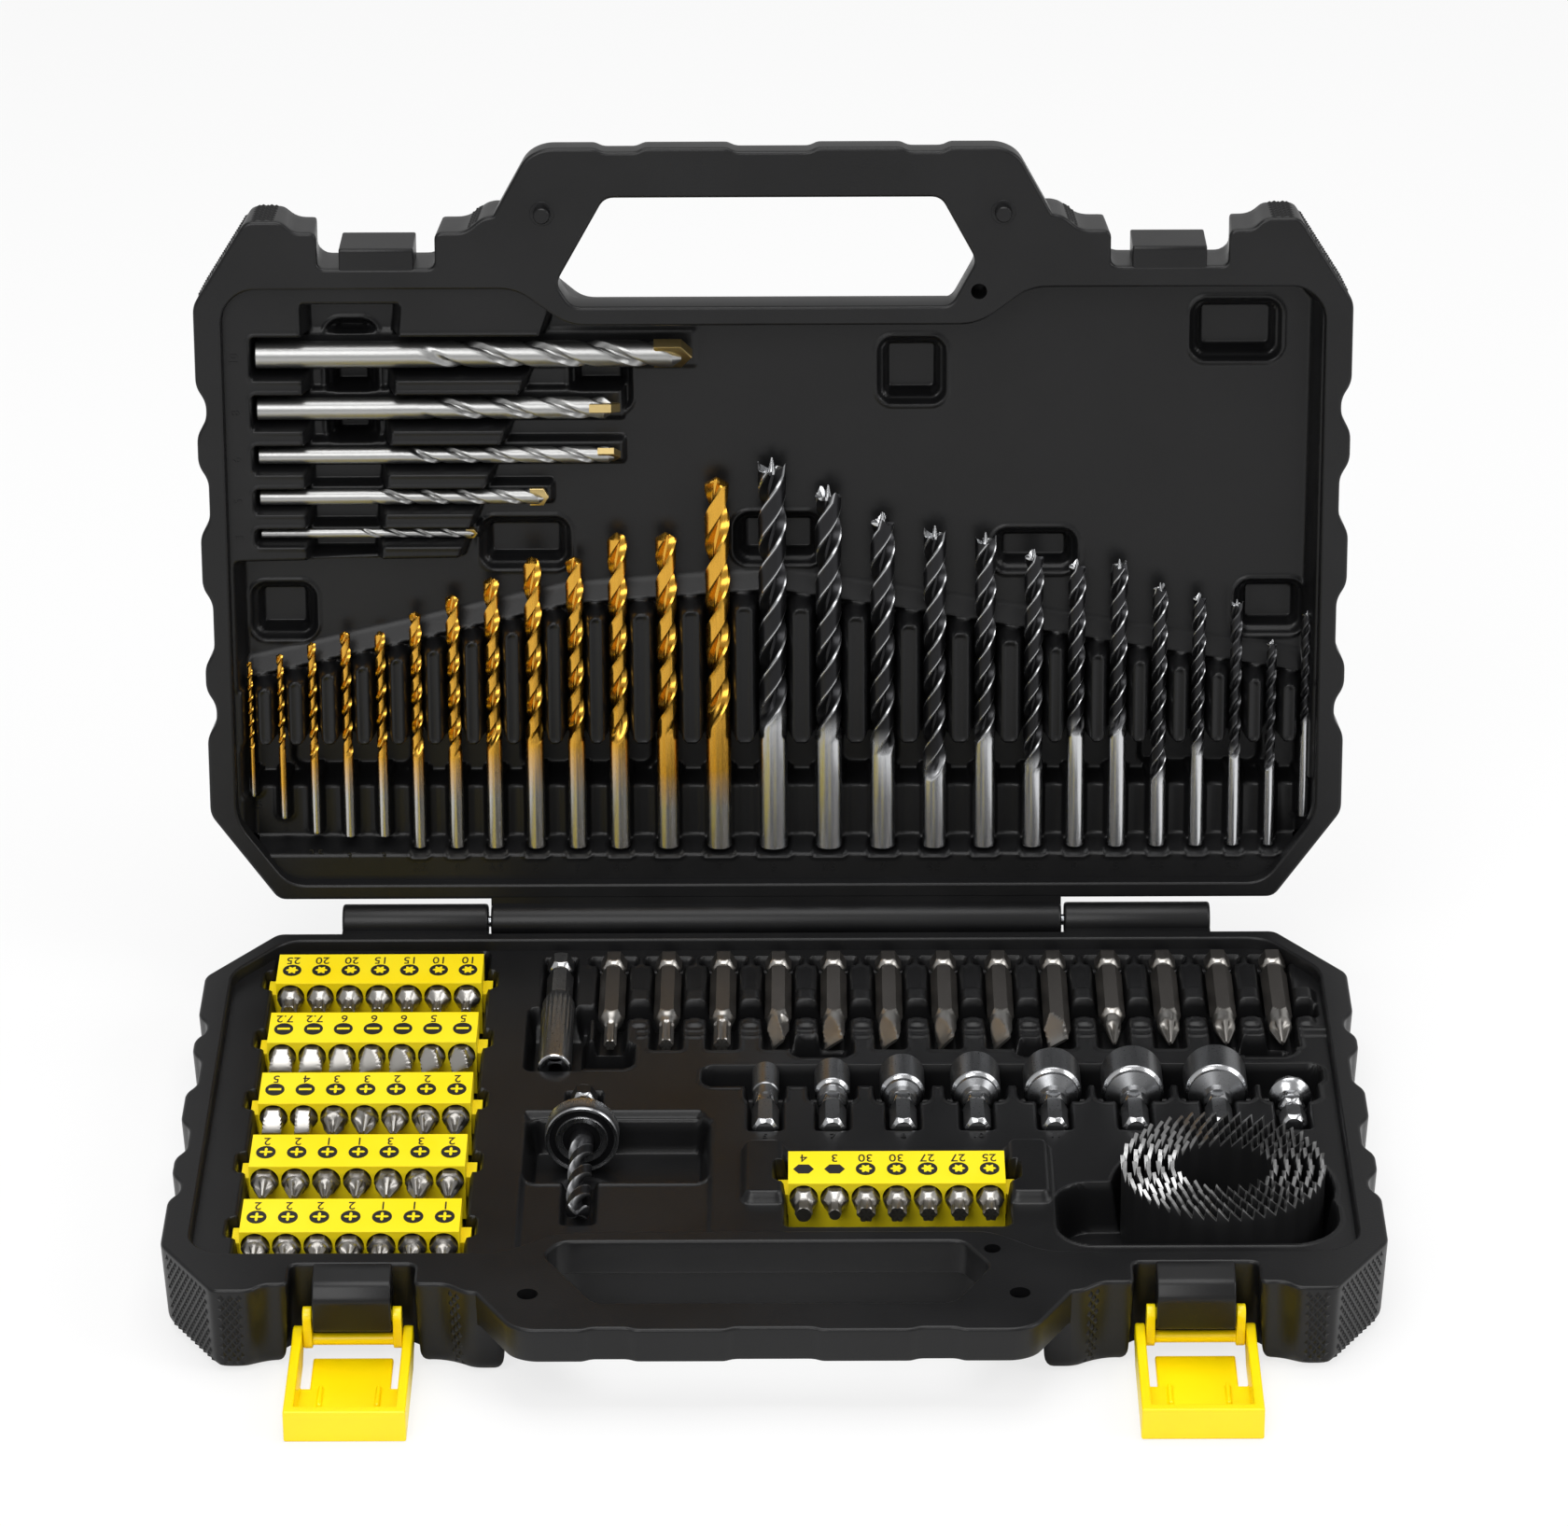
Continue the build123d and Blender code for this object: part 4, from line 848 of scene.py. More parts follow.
barrel = circle(0, 0, BARREL, 40)
lid_parts.append(carried(LID, barrel, (-KNUCKLE_U, KNUCKLE_U), 0.8))
web = rounded([(0, 0.2), (8.5, 0.2), (8.5, 5.0), (0, 5.0)], 0.3, 0.6)
lid_parts.append(carried(LID, web, (-KNUCKLE_U, KNUCKLE_U), 0.4))
for u_range in ((-122.0, -81.0), (81.0, 122.0)):
    base_parts.append(carried(BASE, barrel, u_range, 0.8))
    base_parts.append(carried(BASE, web, u_range, 0.4))
keeper = rounded([(189.0, 0.3), (196.0, 0.3), (196.0, 18.2), (189.0, 18.2)], 0.8, 0.5)
tab = rounded([(189.0, 0.3), (191.4, 0.3), (198.2, 1.6), (200.8, 5.2), (200.8, 14.5), (189.0, 14.5)],
              1.2, 0.5)
lid_parts += both(LID, keeper, LATCH_U, TAB_HALF)
base_parts += both(BASE, tab, LATCH_U, TAB_HALF)


# %% Shell pieces
def lathe(rim, u, v, profile, count=32):
    """A profile of (radius, depth) turned about a line that stands square to the rim."""
    radius, depth = np.asarray(profile, float).T
    angle = np.linspace(0, 2 * math.pi, count, endpoint=False)
    radius, depth = radius[:, None], depth[:, None]
    points = place(rim, u + radius * np.cos(angle), v + radius * np.sin(angle), depth)
    return sheet(points, ring=True, caps=True).outward()


pin_profile = [(3.4, RIM), (3.3, 0.02), (2.35, 0.0), (2.2, -2.6), (1.9, -2.95), (0.6, -2.95)]
lid_parts += [lathe(LID, end * PIN_U, PIN_V, pin_profile) for end in (-1, 1)]
build("lid_shell_skin", joined(lid_parts), "lid", case_plastic, stands_for=["lid_shell"])
build("base_shell_skin", joined(base_parts), "base", case_plastic, stands_for=["base_shell"])
print("shells", made["lid_shell_skin"], made["base_shell_skin"], "triangles")

# %% [markdown]
# ## Bars with a shape for a section
#
# Drills, driver bits and nut drivers are all bars: a section that changes along a straight axis. The rod
# function takes how far along each row lies, the section's radius for each angle, and how far each row is
# turned. A drill's flutes come from a section with two hollows and a steady turn, so the grid's columns
# follow the helix and the flute's edges stay sharp with few faces.

# %% Rods
def s_curve(x, low, high):
    """0 below low, 1 above high, and an S between them."""
    part = np.clip((np.asarray(x, float) - low) / (high - low), 0, 1)
    return part * part * (3 - 2 * part)


def rod(rim, start, t, radius, turned=0.0, mark=0.0, heading=1):
    """Points at start + t along the axis + radius times (cos, sin) of the angle in the section's plane. The
    axis is the rim's direction number heading, and a positive turn makes a right-handed helix."""
    rows, cols = radius.shape
    out, along = -rim[2], rim[heading]
    side = np.cross(out, along)
    angle = np.linspace(0, 2 * math.pi, cols, endpoint=False)[None] + np.reshape(turned, (-1, 1))
    t = np.broadcast_to(np.reshape(t, (rows, -1)), (rows, cols))[..., None]
    across = np.cos(angle)[..., None] * side + np.sin(angle)[..., None] * out
    points = place(rim, *start) + MM * (t * along + radius[..., None] * across)
    return sheet(points, mark, ring=True, caps=True).outward()


def angles(cols):
    """One row of even steps of a whole turn, for a section."""
    return np.linspace(0, 2 * math.pi, cols, endpoint=False)[None]


def hexagon_radius(across, cols, phase=0.0):
    """The hexagon's edge at each angle: half its width over the cosine of the angle from a flat's middle."""
    folded = np.mod(angles(cols) - phase, math.pi / 3) - math.pi / 6
    return across / 2 / np.cos(folded)


print("hexagon of 6.35 mm:", hexagon_radius(6.35, 12).round(2).ravel()[:3])

# %% [markdown]
# ### Twist drills
#
# A ground drill has two wide flutes, a narrow margin that touches the hole, and a point of 118 degrees. It
# is gold above the fingertip trough, where the nitride coating ends, and bare steel below.

# %% Twist drills
COATING_V = 37.6
FLUTE_START = {7: 35, 6: 33.5, 5.5: 31, 5: 31, 4.5: 29, 4: 27, 3.5: 27, 3: 24, 2.5: 22, 2: 20, 1.5: 14}


def fluted(size, cols, web, edges):
    """Section of a fluted body, and where its land is: hollows at 0 and 180 degrees, down to the web's share
    of the radius, and a land that is 0.035 lower behind its margin."""
    lean = np.abs(np.sin(angles(cols)))
    land = s_curve(lean, *edges)
    margin = np.exp(-((np.mod(angles(cols), math.pi) - 0.86) / 0.16) ** 2)
    return size / 2 * (web + (1 - web) * land) * (1 - 0.035 * land * (1 - margin)), land


def helix_turn(t, start, pitch):
    """A whole turn for each pitch past the start, and none before it."""
    return 2 * math.pi * np.maximum(t - start, 0) / pitch


def stations(start, end, step):
    """Even places from start to end, about one step apart."""
    return np.linspace(start, end, max(int(round((end - start) / step)), 2) + 1)


def twist_drill(size, u, tail, length, phase):
    """Plain shank, flutes that run out over one diameter, and a cone of 0.6 radius at the end."""
    radius, pitch, cols = size / 2, 4.7 * size, 36 if size > 3 else 24
    start, body_end = FLUTE_START[size], length - 0.3 * size
    t = np.concatenate([[0, 0.35], stations(1.0, start, 12), stations(start, body_end, pitch / 30)[1:],
                        body_end + 0.3 * size * np.array([0.2, 0.4, 0.6, 0.8, 0.94])])
    section, _ = fluted(size, cols, 0.34, (0.42, 0.74))
    deep = s_curve(t, start, start + 1.4 * size)[:, None]
    ring = radius + (section - radius) * deep
    ring[0] -= 0.35 * min(1, size / 4)
    cone = radius * np.clip((length - t) / (0.3 * size), 0, 1)[:, None]
    ring = np.minimum(ring, np.maximum(cone, 0.02))
    bare = s_curve(COATING_V - tail - t, -0.5, 0.5)[:, None]
    return rod(LID, (u, tail, BIT_DEPTH), t, ring, phase + helix_turn(t, start, pitch), bare)


by_size = {}
for number, (size, u, tail, length) in enumerate(twist_places):
    by_size.setdefault(size, []).append(twist_drill(size, u, tail, length, 1.9 * number))
for size, drills in by_size.items():
    label = f"{size:g}".replace(".", "_")
    build(f"twist_drill_{label}mm", joined(drills), "twist_bits", gold_steel,
          stands_for=[f"twist_bit_{label}mm"])
print("twist drills", len(twist_places), "triangles", sum(n for k, n in made.items() if "twist" in k))

# %% [markdown]
# ### Brad point drills
#
# A wood drill has a spike in the middle and two spurs that cut the rim first. The flutes keep
# their black oxide, while the shank and the tip were ground afterwards and are bright. The mark is 1 there,
# and in two lines along each land, which are ground edges and also painted highlight.

# %% Brad point drills
SHANK_END = {8: 35, 7.5: 31.5, 7: 27.5, 6.5: 20, 6: 30, 5.5: 22, 5: 33, 4.5: 18.5, 4: 27, 3.5: 26, 3: 22}


def brad_drill(size, u, tail, length, phase, start):
    """Shank and flutes, then a face that dips inside the rim, rises in two spurs and ends in a spike."""
    radius, pitch, cols = size / 2, 4.1 * size, 40 if size > 3.5 else 28
    rim_end = length - 0.5 * size
    t = np.concatenate([[0, 0.35], stations(1.0, start, 12), stations(start, rim_end, pitch / 30)[1:]])
    section, land = fluted(size, cols, 0.36, (0.36, 0.66))
    deep = s_curve(t, start, start + 1.3 * size)[:, None]
    ring = radius + (section - radius) * deep
    ring[0] -= 0.35 * min(1, size / 4)
    lean = np.abs(np.sin(angles(cols)))
    # two bright lines along each land: partly ground edge, partly painted highlight
    edges = np.exp(-((lean - 0.7) / 0.055) ** 2)
    ground = np.maximum(1 - s_curve(t, start, start + 0.5 * size)[:, None], deep * edges)
    ground = np.maximum(ground, (1 - deep) * land)
    share = np.array([0.97, 0.9, 0.62, 0.34, 0.24, 0.15, 0.06])
    height = np.array([0.0, -0.04, -0.14, -0.1, 0.06, 0.26, 0.44])
    spur = np.exp(-((np.mod(angles(cols), math.pi) - 0.9) / 0.3) ** 2)
    rise = height[:, None] + spur * np.array([0.27, 0.22, 0.02, 0, 0, 0, 0])[:, None]
    t = np.concatenate([t[:, None] + np.zeros((1, cols)), rim_end + size * rise])
    t[len(ring) - 1] += 0.3 * size * spur[0] * 0.9
    tip = np.minimum(radius * share[:, None], section)
    turned = helix_turn(np.append(t[:len(ring), 0], np.full(len(share), rim_end)), start, pitch)
    mark = np.concatenate([ground, np.full((len(share), cols), 0.9)])
    return rod(LID, (u, tail, BIT_DEPTH), t, np.concatenate([ring, tip]), phase + turned, mark)


by_size = {}
for number, (size, u, tail, length) in enumerate(brad_places):
    start = SHANK_END[size] + (5 if number == len(brad_places) - 1 else 0)
    by_size.setdefault(size, []).append(brad_drill(size, u, tail, length, 2.3 * number, start))
for size, drills in by_size.items():
    label = f"{size:g}".replace(".", "_")
    build(f"brad_point_drill_{label}mm", joined(drills), "brad_point_bits", oxide_steel,
          stands_for=[f"brad_point_bit_{label}mm"])
print("brad point drills", len(brad_places), "triangles", sum(n for k, n in made.items() if "brad" in k))

# %% [markdown]
# ### Masonry drills
#
# These are rolled and sandblasted, so they are pale and satin all over. Their body is slimmer than
# the hole they make: only the hard metal plate in the tip is as wide as the number says. The plate is
# shaped like a small house and brazed into a slot, which leaves a brassy tint.

# %% Masonry drills
MASONRY_BODY = {10: 7.4, 8: 6.1, 6: 4.6, 5: 4.4, 3: 2.7}
MASONRY_FLUTES = {10: (44.5, 34.0), 8: (44.0, 28.5), 6: (40.0, 21.3), 5: (30.0, 20.0), 3: (27.0, 14.7)}
PLATE_TURN = {10: 0.7, 8: 1.35, 6: 0.95, 5: 0.1, 3: 0.4}


def masonry_drill(size, v, length):
    """A shank, two round-bottomed flutes, and a plate across the end."""
    radius, (start, pitch) = MASONRY_BODY[size] / 2, MASONRY_FLUTES[size]
    body_end = length - 0.55 * size
    t = np.concatenate([[0, 0.3], stations(1.0, start, 12), stations(start, body_end, pitch / 32)[1:]])
    lean = np.abs(np.sin(angles(36)))
    section = radius * (0.5 + 0.5 * s_curve(lean, 0.12, 0.62) ** 0.8)
    ring = radius + (section - radius) * s_curve(t, start, start + 1.1 * size)[:, None]
    ring[0] -= 0.3
    ring = np.concatenate([ring, section * 0.55])
    t = np.append(t, body_end + 0.25 * size)
    shape = rod(LID, (MASONRY_U, v, BIT_DEPTH), t, ring, helix_turn(t, start, pitch) + size, heading=0)
    half, thick = size / 2, 0.13 * size + 0.25
    outline = np.array([(body_end - 0.5 * size, -half), (length - 0.3 * size, -half), (length, 0.0),
                        (length - 0.3 * size, half), (body_end - 0.5 * size, half)])
    levels = np.array([0.0, 1.0, 1.0, 0.0])[:, None, None]
    inset = 1 - 0.08 * (1 - levels)
    middle = np.array([length - 0.4 * size, 0.0])
    rows = middle + (outline[None] - middle) * inset
    across = np.array([-1.0, -0.86, 0.86, 1.0])[:, None] * thick
    turn = PLATE_TURN[size]
    side_v = rows[..., 1] * math.cos(turn) - across * math.sin(turn)
    out = rows[..., 1] * math.sin(turn) + across * math.cos(turn)
    points = place(LID, MASONRY_U + rows[..., 0], v + side_v, BIT_DEPTH - out)
    plate = sheet(points, 1.0, ring=True, caps=True).outward()
    return joined([shape, plate])


for size, v, length in masonry_places:
    build(f"masonry_drill_{size}mm", masonry_drill(size, v, length), "masonry_bits",
          masonry_steel, stands_for=[f"masonry_bit_{size}mm"])
print("masonry drills", [n for k, n in made.items() if "masonry" in k])

# %% [markdown]
# ## Hexagonal tools in the base
#
# Every driver bit starts as hexagonal bar and is then turned on a lathe. Where the cone of the lathe tool
# meets the six flats, it leaves pointed facets, bright where the dark phosphate was cut away. The section
# is simply the smaller of the hexagon and the turned radius, and the mark is 1 where the turning won.

# %% Turned hexagonal bars
HEX = 6.35
POWER_V, POWER_DEPTH, SMALL_DEPTH, INSERT_DEPTH, HEADS_V = 17.0, 3.5, 4.0, 4.3, 82.0


def turned_hexagon(rim, start, profile, across=HEX, cols=36, step=0.5, shape=None, heading=1, bright=1.0,
                   phase=0.0):
    """Bar of (t, turned radius) steps: at each angle the smaller of the hexagon and the turned radius. A
    shape (t, angles) gives another limit, such as a blade or a star, and True where it is bright."""
    t, turned = (np.array(x, float) for x in zip(*profile))
    extra = [np.linspace(a, b, max(int(abs(b - a) / step), 1), endpoint=False) for a, b in zip(t, t[1:])]
    share = np.concatenate([np.linspace(i, i + 1, len(e), endpoint=False) for i, e in enumerate(extra)])
    share = np.append(share, len(t) - 1.0)
    rows = np.interp(share, np.arange(len(t)), t)
    turned = np.interp(share, np.arange(len(t)), turned)[:, None]
    flats = hexagon_radius(across, cols, phase)
    ring = np.minimum(turned, flats)
    mark = np.where(turned < flats - 0.03, bright, 0.0) * (turned > 0.5)
    if shape is not None:
        limit, shine = shape(rows[:, None], angles(cols))
        mark = np.where(limit < ring, shine, mark)
        ring = np.minimum(ring, limit)
    return rod(rim, start, rows, np.maximum(ring, 0.02), 0.0, mark, heading)


def blade(t0, end, tip, turn, width=99.0):
    """Two flats ground towards each other: half the thickness over the sine of the angle from the blade."""
    def limit(t, angle):
        half = 3.4 + (tip - 3.4) * s_curve(t, t0 - 2.5, end + 0.5) ** 0.62
        flat = half / np.maximum(np.abs(np.sin(angle - turn)), 1e-3)
        side = width / np.maximum(np.abs(np.cos(angle - turn)), 1e-3)
        return np.where(t > t0 - 2.5, np.minimum(flat, side), 99.0), 1.0
    return limit


def star(t0, radius):
    """Six lobes: the radius, less an eighth in the hollows."""
    def limit(t, angle):
        return np.where(t > t0, radius * (0.87 + 0.13 * np.cos(6 * angle)), 99.0), 0.35
    return limit


def cross(t0, end, radius, turn=0.3, deep=0.62):
    """Four wings on a cone that ends blunt, with hollows between them that deepen towards the end."""
    def limit(t, angle):
        cone = radius * np.clip((end + 1.4 - t) / (end + 1.4 - t0), 0, 1) ** 0.8
        wing = np.abs(np.cos(2 * (angle - turn)))
        hollow = 1 - deep * s_curve(t, t0 - 1.5, t0 + 2.5) * (1 - s_curve(wing, 0.35, 0.95))
        return np.where(t > t0 - 1.5, np.minimum(cone, radius) * hollow, 99.0), 0.55
    return limit


GROOVE = [(0, 2.7), (0.9, 3.7), (5.6, 3.7), (7.2, 2.5), (8.6, 2.5), (9.8, 3.7)]
power_bits = {"star_power_bits": [], "slotted_power_bits": [], "cross_power_bits": []}
for i, u in enumerate(POWER_U):
    begin = (u, POWER_V, POWER_DEPTH)
    if i < 3:
        radius = (1.75, 2.05, 2.35)[i]
        profile = GROOVE + [(34.6, 3.7), (37.6, 2.5), (39.5, radius + 0.1), (49.7, radius),
                            (50, radius - 0.3)]
        made_bit = turned_hexagon(BASE, begin, profile, shape=star(39.5, radius))
        power_bits["star_power_bits"].append(made_bit)
    elif i < 9:
        width = (2.2, 2.9, 2.9, 3.05, 3.1, 3.6)[i - 3]
        profile = GROOVE + [(34.6, 3.7), (36.4, 3.0), (50, 3.0)]
        if i == 8:
            profile = GROOVE + [(50, 3.7)]
        turn = (0.75, 0.62, 0.7, 0.85, 0.8, 0.55)[i - 3]
        power_bits["slotted_power_bits"].append(
            turned_hexagon(BASE, begin, profile, shape=blade(40.0, 50.0, 0.35, turn, width)))
    else:
        radius = (2.3, 3.0, 3.0, 3.15)[i - 9]
        profile = GROOVE + [(34.6, 3.7), (36.4, radius), (50, radius)]
        power_bits["cross_power_bits"].append(
            turned_hexagon(BASE, begin, profile, shape=cross(41.5, 50.0, radius, 0.35 + 0.25 * i)))
for name, bits in power_bits.items():
    build(f"{name}_turned", joined(bits), name, driver_steel, stands_for=[name])
print("power bits", sum(len(b) for b in power_bits.values()))

# %% [markdown]
# ### Nut drivers and countersink
#
# The nut drivers lie with their mouths towards the hinge. Each is a turned head with a bright line where
# its edge was chamfered, a waist, and the hexagonal shank. The bore is part of the same profile: it starts
# at the bottom of the bore, comes out at the mouth and goes on round the outside.

# %% Nut drivers
def resampled(profile, first, count):
    """A (t, radius) profile with this many more rows from step number first on, each a straight blend of its
    neighbours: the row's step number, t, and the radius as a column."""
    t, radius = np.array(profile, float).T
    step = np.arange(len(t))
    share = np.unique(np.concatenate([step, np.linspace(first, len(t) - 1, count)]))
    return share, np.interp(share, step, t), np.interp(share, step, radius)[:, None]


def socket(size, bore, u):
    """Bore and outside as one profile of (t, radius), cut by the bore's and the shank's hexagons."""
    radius = size / 2
    waist = min(radius - 0.2, 3.75)
    outside = [(0.0, radius - 0.35), (0.35, radius), (11.6, radius), (12.0, radius - 0.3)]
    if size > 9:
        outside += [(12.5, radius - 0.85), (13.6, radius - 0.95), (15.2, waist + 0.5), (16.8, waist)]
    outside += [(17.6, waist), (20.0, 3.1), (20.6, 3.7), (30.9, 3.7), (32.0, 2.4)]
    cols = 48
    inner = [(9.0, 0.05), (9.0, bore / 2 * 1.16), (0.3, bore / 2 * 1.16), (0.0, bore / 2 * 1.16 + 0.3)]
    share, rows, turned = resampled(inner + outside, 7, 60)
    is_bore, is_shank = (share < 3.5)[:, None], (rows > 17.0)[:, None] & (share > 5)[:, None]
    flats = np.where(is_bore, hexagon_radius(bore, cols), np.where(is_shank, hexagon_radius(HEX, cols), 99.0))
    ring = np.minimum(turned, flats)
    chamfer = (rows > 11.7) & (rows < 12.6) & (share > 5) if size > 9 else rows < -1
    mark = np.where(chamfer[:, None], 1.0, 0.0) + np.where(is_shank & (turned < flats - 0.03), 0.9, 0.0)
    return rod(BASE, (u, HEADS_V, SMALL_DEPTH), rows, ring, 0.0, np.clip(mark, 0, 1))


build("turned_nut_drivers", joined([socket(*s) for s in SOCKETS]), "nut_drivers", satin_chrome,
      stands_for=["nut_drivers"])


def cutting_head(t, angle):
    """Five cutting edges on the cone: the radius drops behind each edge."""
    tooth = np.mod(angle * 5 / (2 * math.pi), 1.0)
    return np.where(t < 7.0, 0.6 + t * 0.78 + 1.3 * tooth - 0.5, 99.0), 0.3


sink_start = (COUNTERSINK_U, HEADS_V + 6, SMALL_DEPTH)
sink_profile = [(0, 0.9), (1.0, 1.6), (6.2, 5.4), (8.2, 5.7), (8.8, 5.6), (9.4, 3.7), (11.2, 3.4),
                (12.6, 3.1), (13.2, 3.7), (14.6, 3.7), (15.8, 2.6), (17.0, 2.6), (18.2, 3.7), (23.6, 3.7),
                (25.0, 2.5)]
sink = turned_hexagon(BASE, sink_start, sink_profile, shape=cutting_head, cols=60)
head_profile = [(0.2, 0.6), (1.0, 1.5), (6.2, 5.3), (8.2, 5.7), (8.8, 5.3), (10.4, 3.4), (11.0, 2.0)]
wide = turned_hexagon(BASE, sink_start, head_profile, across=30, shape=cutting_head, cols=60, bright=0.5)
build("turned_countersink", joined([sink, wide]), "countersink", satin_chrome,
      stands_for=["countersink"])
print("nut drivers", made["turned_nut_drivers"], "countersink", made["turned_countersink"])

# %% [markdown]
# ### Magnetic holder
#
# A sleeve with fine grooves along it, made by a knurling roller, on a hexagonal shank. Its mouth is a
# bright ring round a hexagonal socket, with the magnet at the bottom.

# %% Magnetic holder
def holder():
    """Shank, sleeve and socket as one profile of (t, radius), less 24 grooves along the sleeve."""
    cols = 96
    groove = np.where(np.abs(np.mod(angles(cols) * 24 / (2 * math.pi), 1) - 0.5) < 0.3, 0.16, 0.0)
    profile = GROOVE + [(22.6, 3.7), (23.2, 3.6), (26.5, 4.55), (61.0, 4.6), (62.6, 4.6), (63.0, 4.35),
                        (63.0, 3.9), (62.4, 3.55), (53.0, 3.55), (53.0, 0.05)]
    share, rows, turned = resampled(profile, 0, 90)
    shank, inside = (rows < 23.0)[:, None] & (share < 7)[:, None], (share > 12.4)[:, None]
    flats = np.where(shank | inside, hexagon_radius(HEX, cols), 99.0)
    ring = np.minimum(turned, flats)
    knurled = ((rows > 24.5) & (rows < 50.0) & (share < 9))[:, None]
    ring = ring - np.where(knurled, groove, 0)
    mark = np.where(shank & (turned < flats - 0.03), 0.9, 0.0)
    mark = np.where(((share > 9.7) & (share < 12.0))[:, None] + 0 * ring > 0, 1.0, mark)
    return rod(BASE, (HOLDER_U, POWER_V, SMALL_DEPTH), rows, ring, 0.0, mark)


build("grooved_bit_holder", holder(), "bit_holder", satin_chrome, stands_for=["bit_holder"])
print("holder", made["grooved_bit_holder"])

# %% [markdown]
# ### Insert bits
#
# Six bars hold seven short bits each, tail in. The bits are the same hexagonal bar as the long ones, and
# each bar has its own list of tips: a letter for the kind and the size stamped beside it.

# %% Insert bits
BAR_TIPS = {
    "star_insert_bits": "s25 s20 s20 s15 s15 s10 s10", "slotted_insert_bits": "f7.2 f7.2 f6 f6 f6 f5 f5",
    "mixed_insert_bits": "f5 f4 c3 c3 c2 c2 c2", "cross_insert_bits_4": "c2 c2 c1 c1 c3 c3 c2",
    "cross_insert_bits_5": "c2 c2 c2 c2 c1 c1 c1", "hex_insert_bits": "h4 h3 s30 s30 s27 s27 s25",
}
BAR_BODIES = [f"bit_bar_{i}" for i in (1, 2, 3, 4, 5, "front")]
SLOTS_U = (np.arange(7) - 3) * 8.15
BAR_LENGTH, IN_BAR = 17.3, 16.0


def key_tip(t0, across):
    """A second, smaller hexagon past t0."""
    def limit(t, angle):
        return np.where(t > t0, hexagon_radius(across, np.size(angle)), 99.0), 0.3
    return limit


def insert_bit(u, v, tip, number):
    """25 mm long: hexagon, pointed facets, neck, and the tip that the code names."""
    kind, size = tip[0], float(tip[1:])
    if kind == "s":
        radius = 0.75 + 0.058 * size
        steps = [(17.6, 3.7), (20.2, radius + 0.2), (24.7, radius), (25, radius - 0.3)]
        shape = star(20.3, radius)
    elif kind == "h":
        steps = [(17.6, 3.7), (20.2, size / 2 + 0.5), (24.6, size / 2 + 0.5), (25, size / 2)]
        shape = key_tip(20.3, size)
    elif kind == "f":
        steps = [(17.4, 3.7), (18.6, 3.1), (25, 3.1)]
        shape = blade(19.5, 25.0, 0.4, 0.08 * number, size / 2)
    else:
        radius = 2.0 + 0.4 * size
        steps = [(17.4, 3.7), (19.0, radius), (25, radius)]
        shape = cross(19.6, 25.0, radius, 0.4 * number)
    profile = [(0, 2.9), (0.8, 3.7)] + steps
    return turned_hexagon(BASE, (u, v - IN_BAR, INSERT_DEPTH), profile, shape=shape, cols=36, step=0.4)


for (u, v), body, (name, tips) in zip(BAR_PLACES, BAR_BODIES, BAR_TIPS.items()):
    bits = [insert_bit(u + slot, v + BAR_LENGTH, tip, i)
            for i, (slot, tip) in enumerate(zip(SLOTS_U, tips.split()))]
    build(f"{name}_turned", joined(bits), body, driver_steel, stands_for=[name])
print("insert bits", 7 * len(BAR_TIPS), "triangles", sum(n for k, n in made.items() if "insert" in k))

# %% [markdown]
# ## Hole saws and arbor
#
# Each saw is rolled from strip, so the wall is even, and its teeth are cut on the flat strip before
# rolling. They lean one way and are bent out and in by turns, to clear a slot for the wall. The black
# paint has worn off the very edge, which draws each tooth with a thin bright line.

# %% Hole saws
def hole_saw(radius, u, v, top=-5.0, height=25.0, wall_mm=1.2, per_tooth=8):
    """A ring of four walls, whose top edge rises 3 mm along each tooth and then drops."""
    teeth = 2 * int(round(math.pi * radius / 3.2))
    cols = teeth * per_tooth
    along = np.arange(cols) / per_tooth
    place_in_tooth = np.mod(along, 1.0)
    rise = np.clip(place_in_tooth / 0.86, 0, 1) * (place_in_tooth < 0.88)
    edge = top + 3.0 * (1 - rise)
    bent = np.where(np.floor(along) % 2 == 0, 0.4, -0.3) * rise
    angle = along / teeth * 2 * math.pi
    inner, outer = radius - wall_mm, radius - 0.05
    rows = [(outer, np.full(cols, top + height), 0), (outer, np.full(cols, top + 4.2), 0),
            (outer, edge + 0.45, bent * 0.8), (outer - 0.05, edge, bent), (inner + 0.05, edge, bent),
            (inner, edge + 0.45, bent * 0.8), (inner, np.full(cols, top + 4.2), 0),
            (inner, np.full(cols, top + height), 0)]
    reach = np.array([r + shift * np.ones(cols) for r, _, shift in rows + rows[:1]])
    depth = np.array([d for _, d, _ in rows + rows[:1]])
    mark = np.zeros(reach.shape)
    mark[3:5] = 1.0
    points = place(BASE, u + reach * np.cos(angle), v + reach * np.sin(angle), depth)
    return sheet(points, mark, ring=True).outward()


for i in range(5):
    radius = 26.7 - 3.1 * i
    label = f"hole_saw_{2 * radius:.0f}mm"
    build(f"toothed_{label}", hole_saw(radius, *SAW_CENTRE), "hole_saws", saw_steel,
          stands_for=[label])
print("hole saws", [n for k, n in made.items() if k.startswith("toothed")])
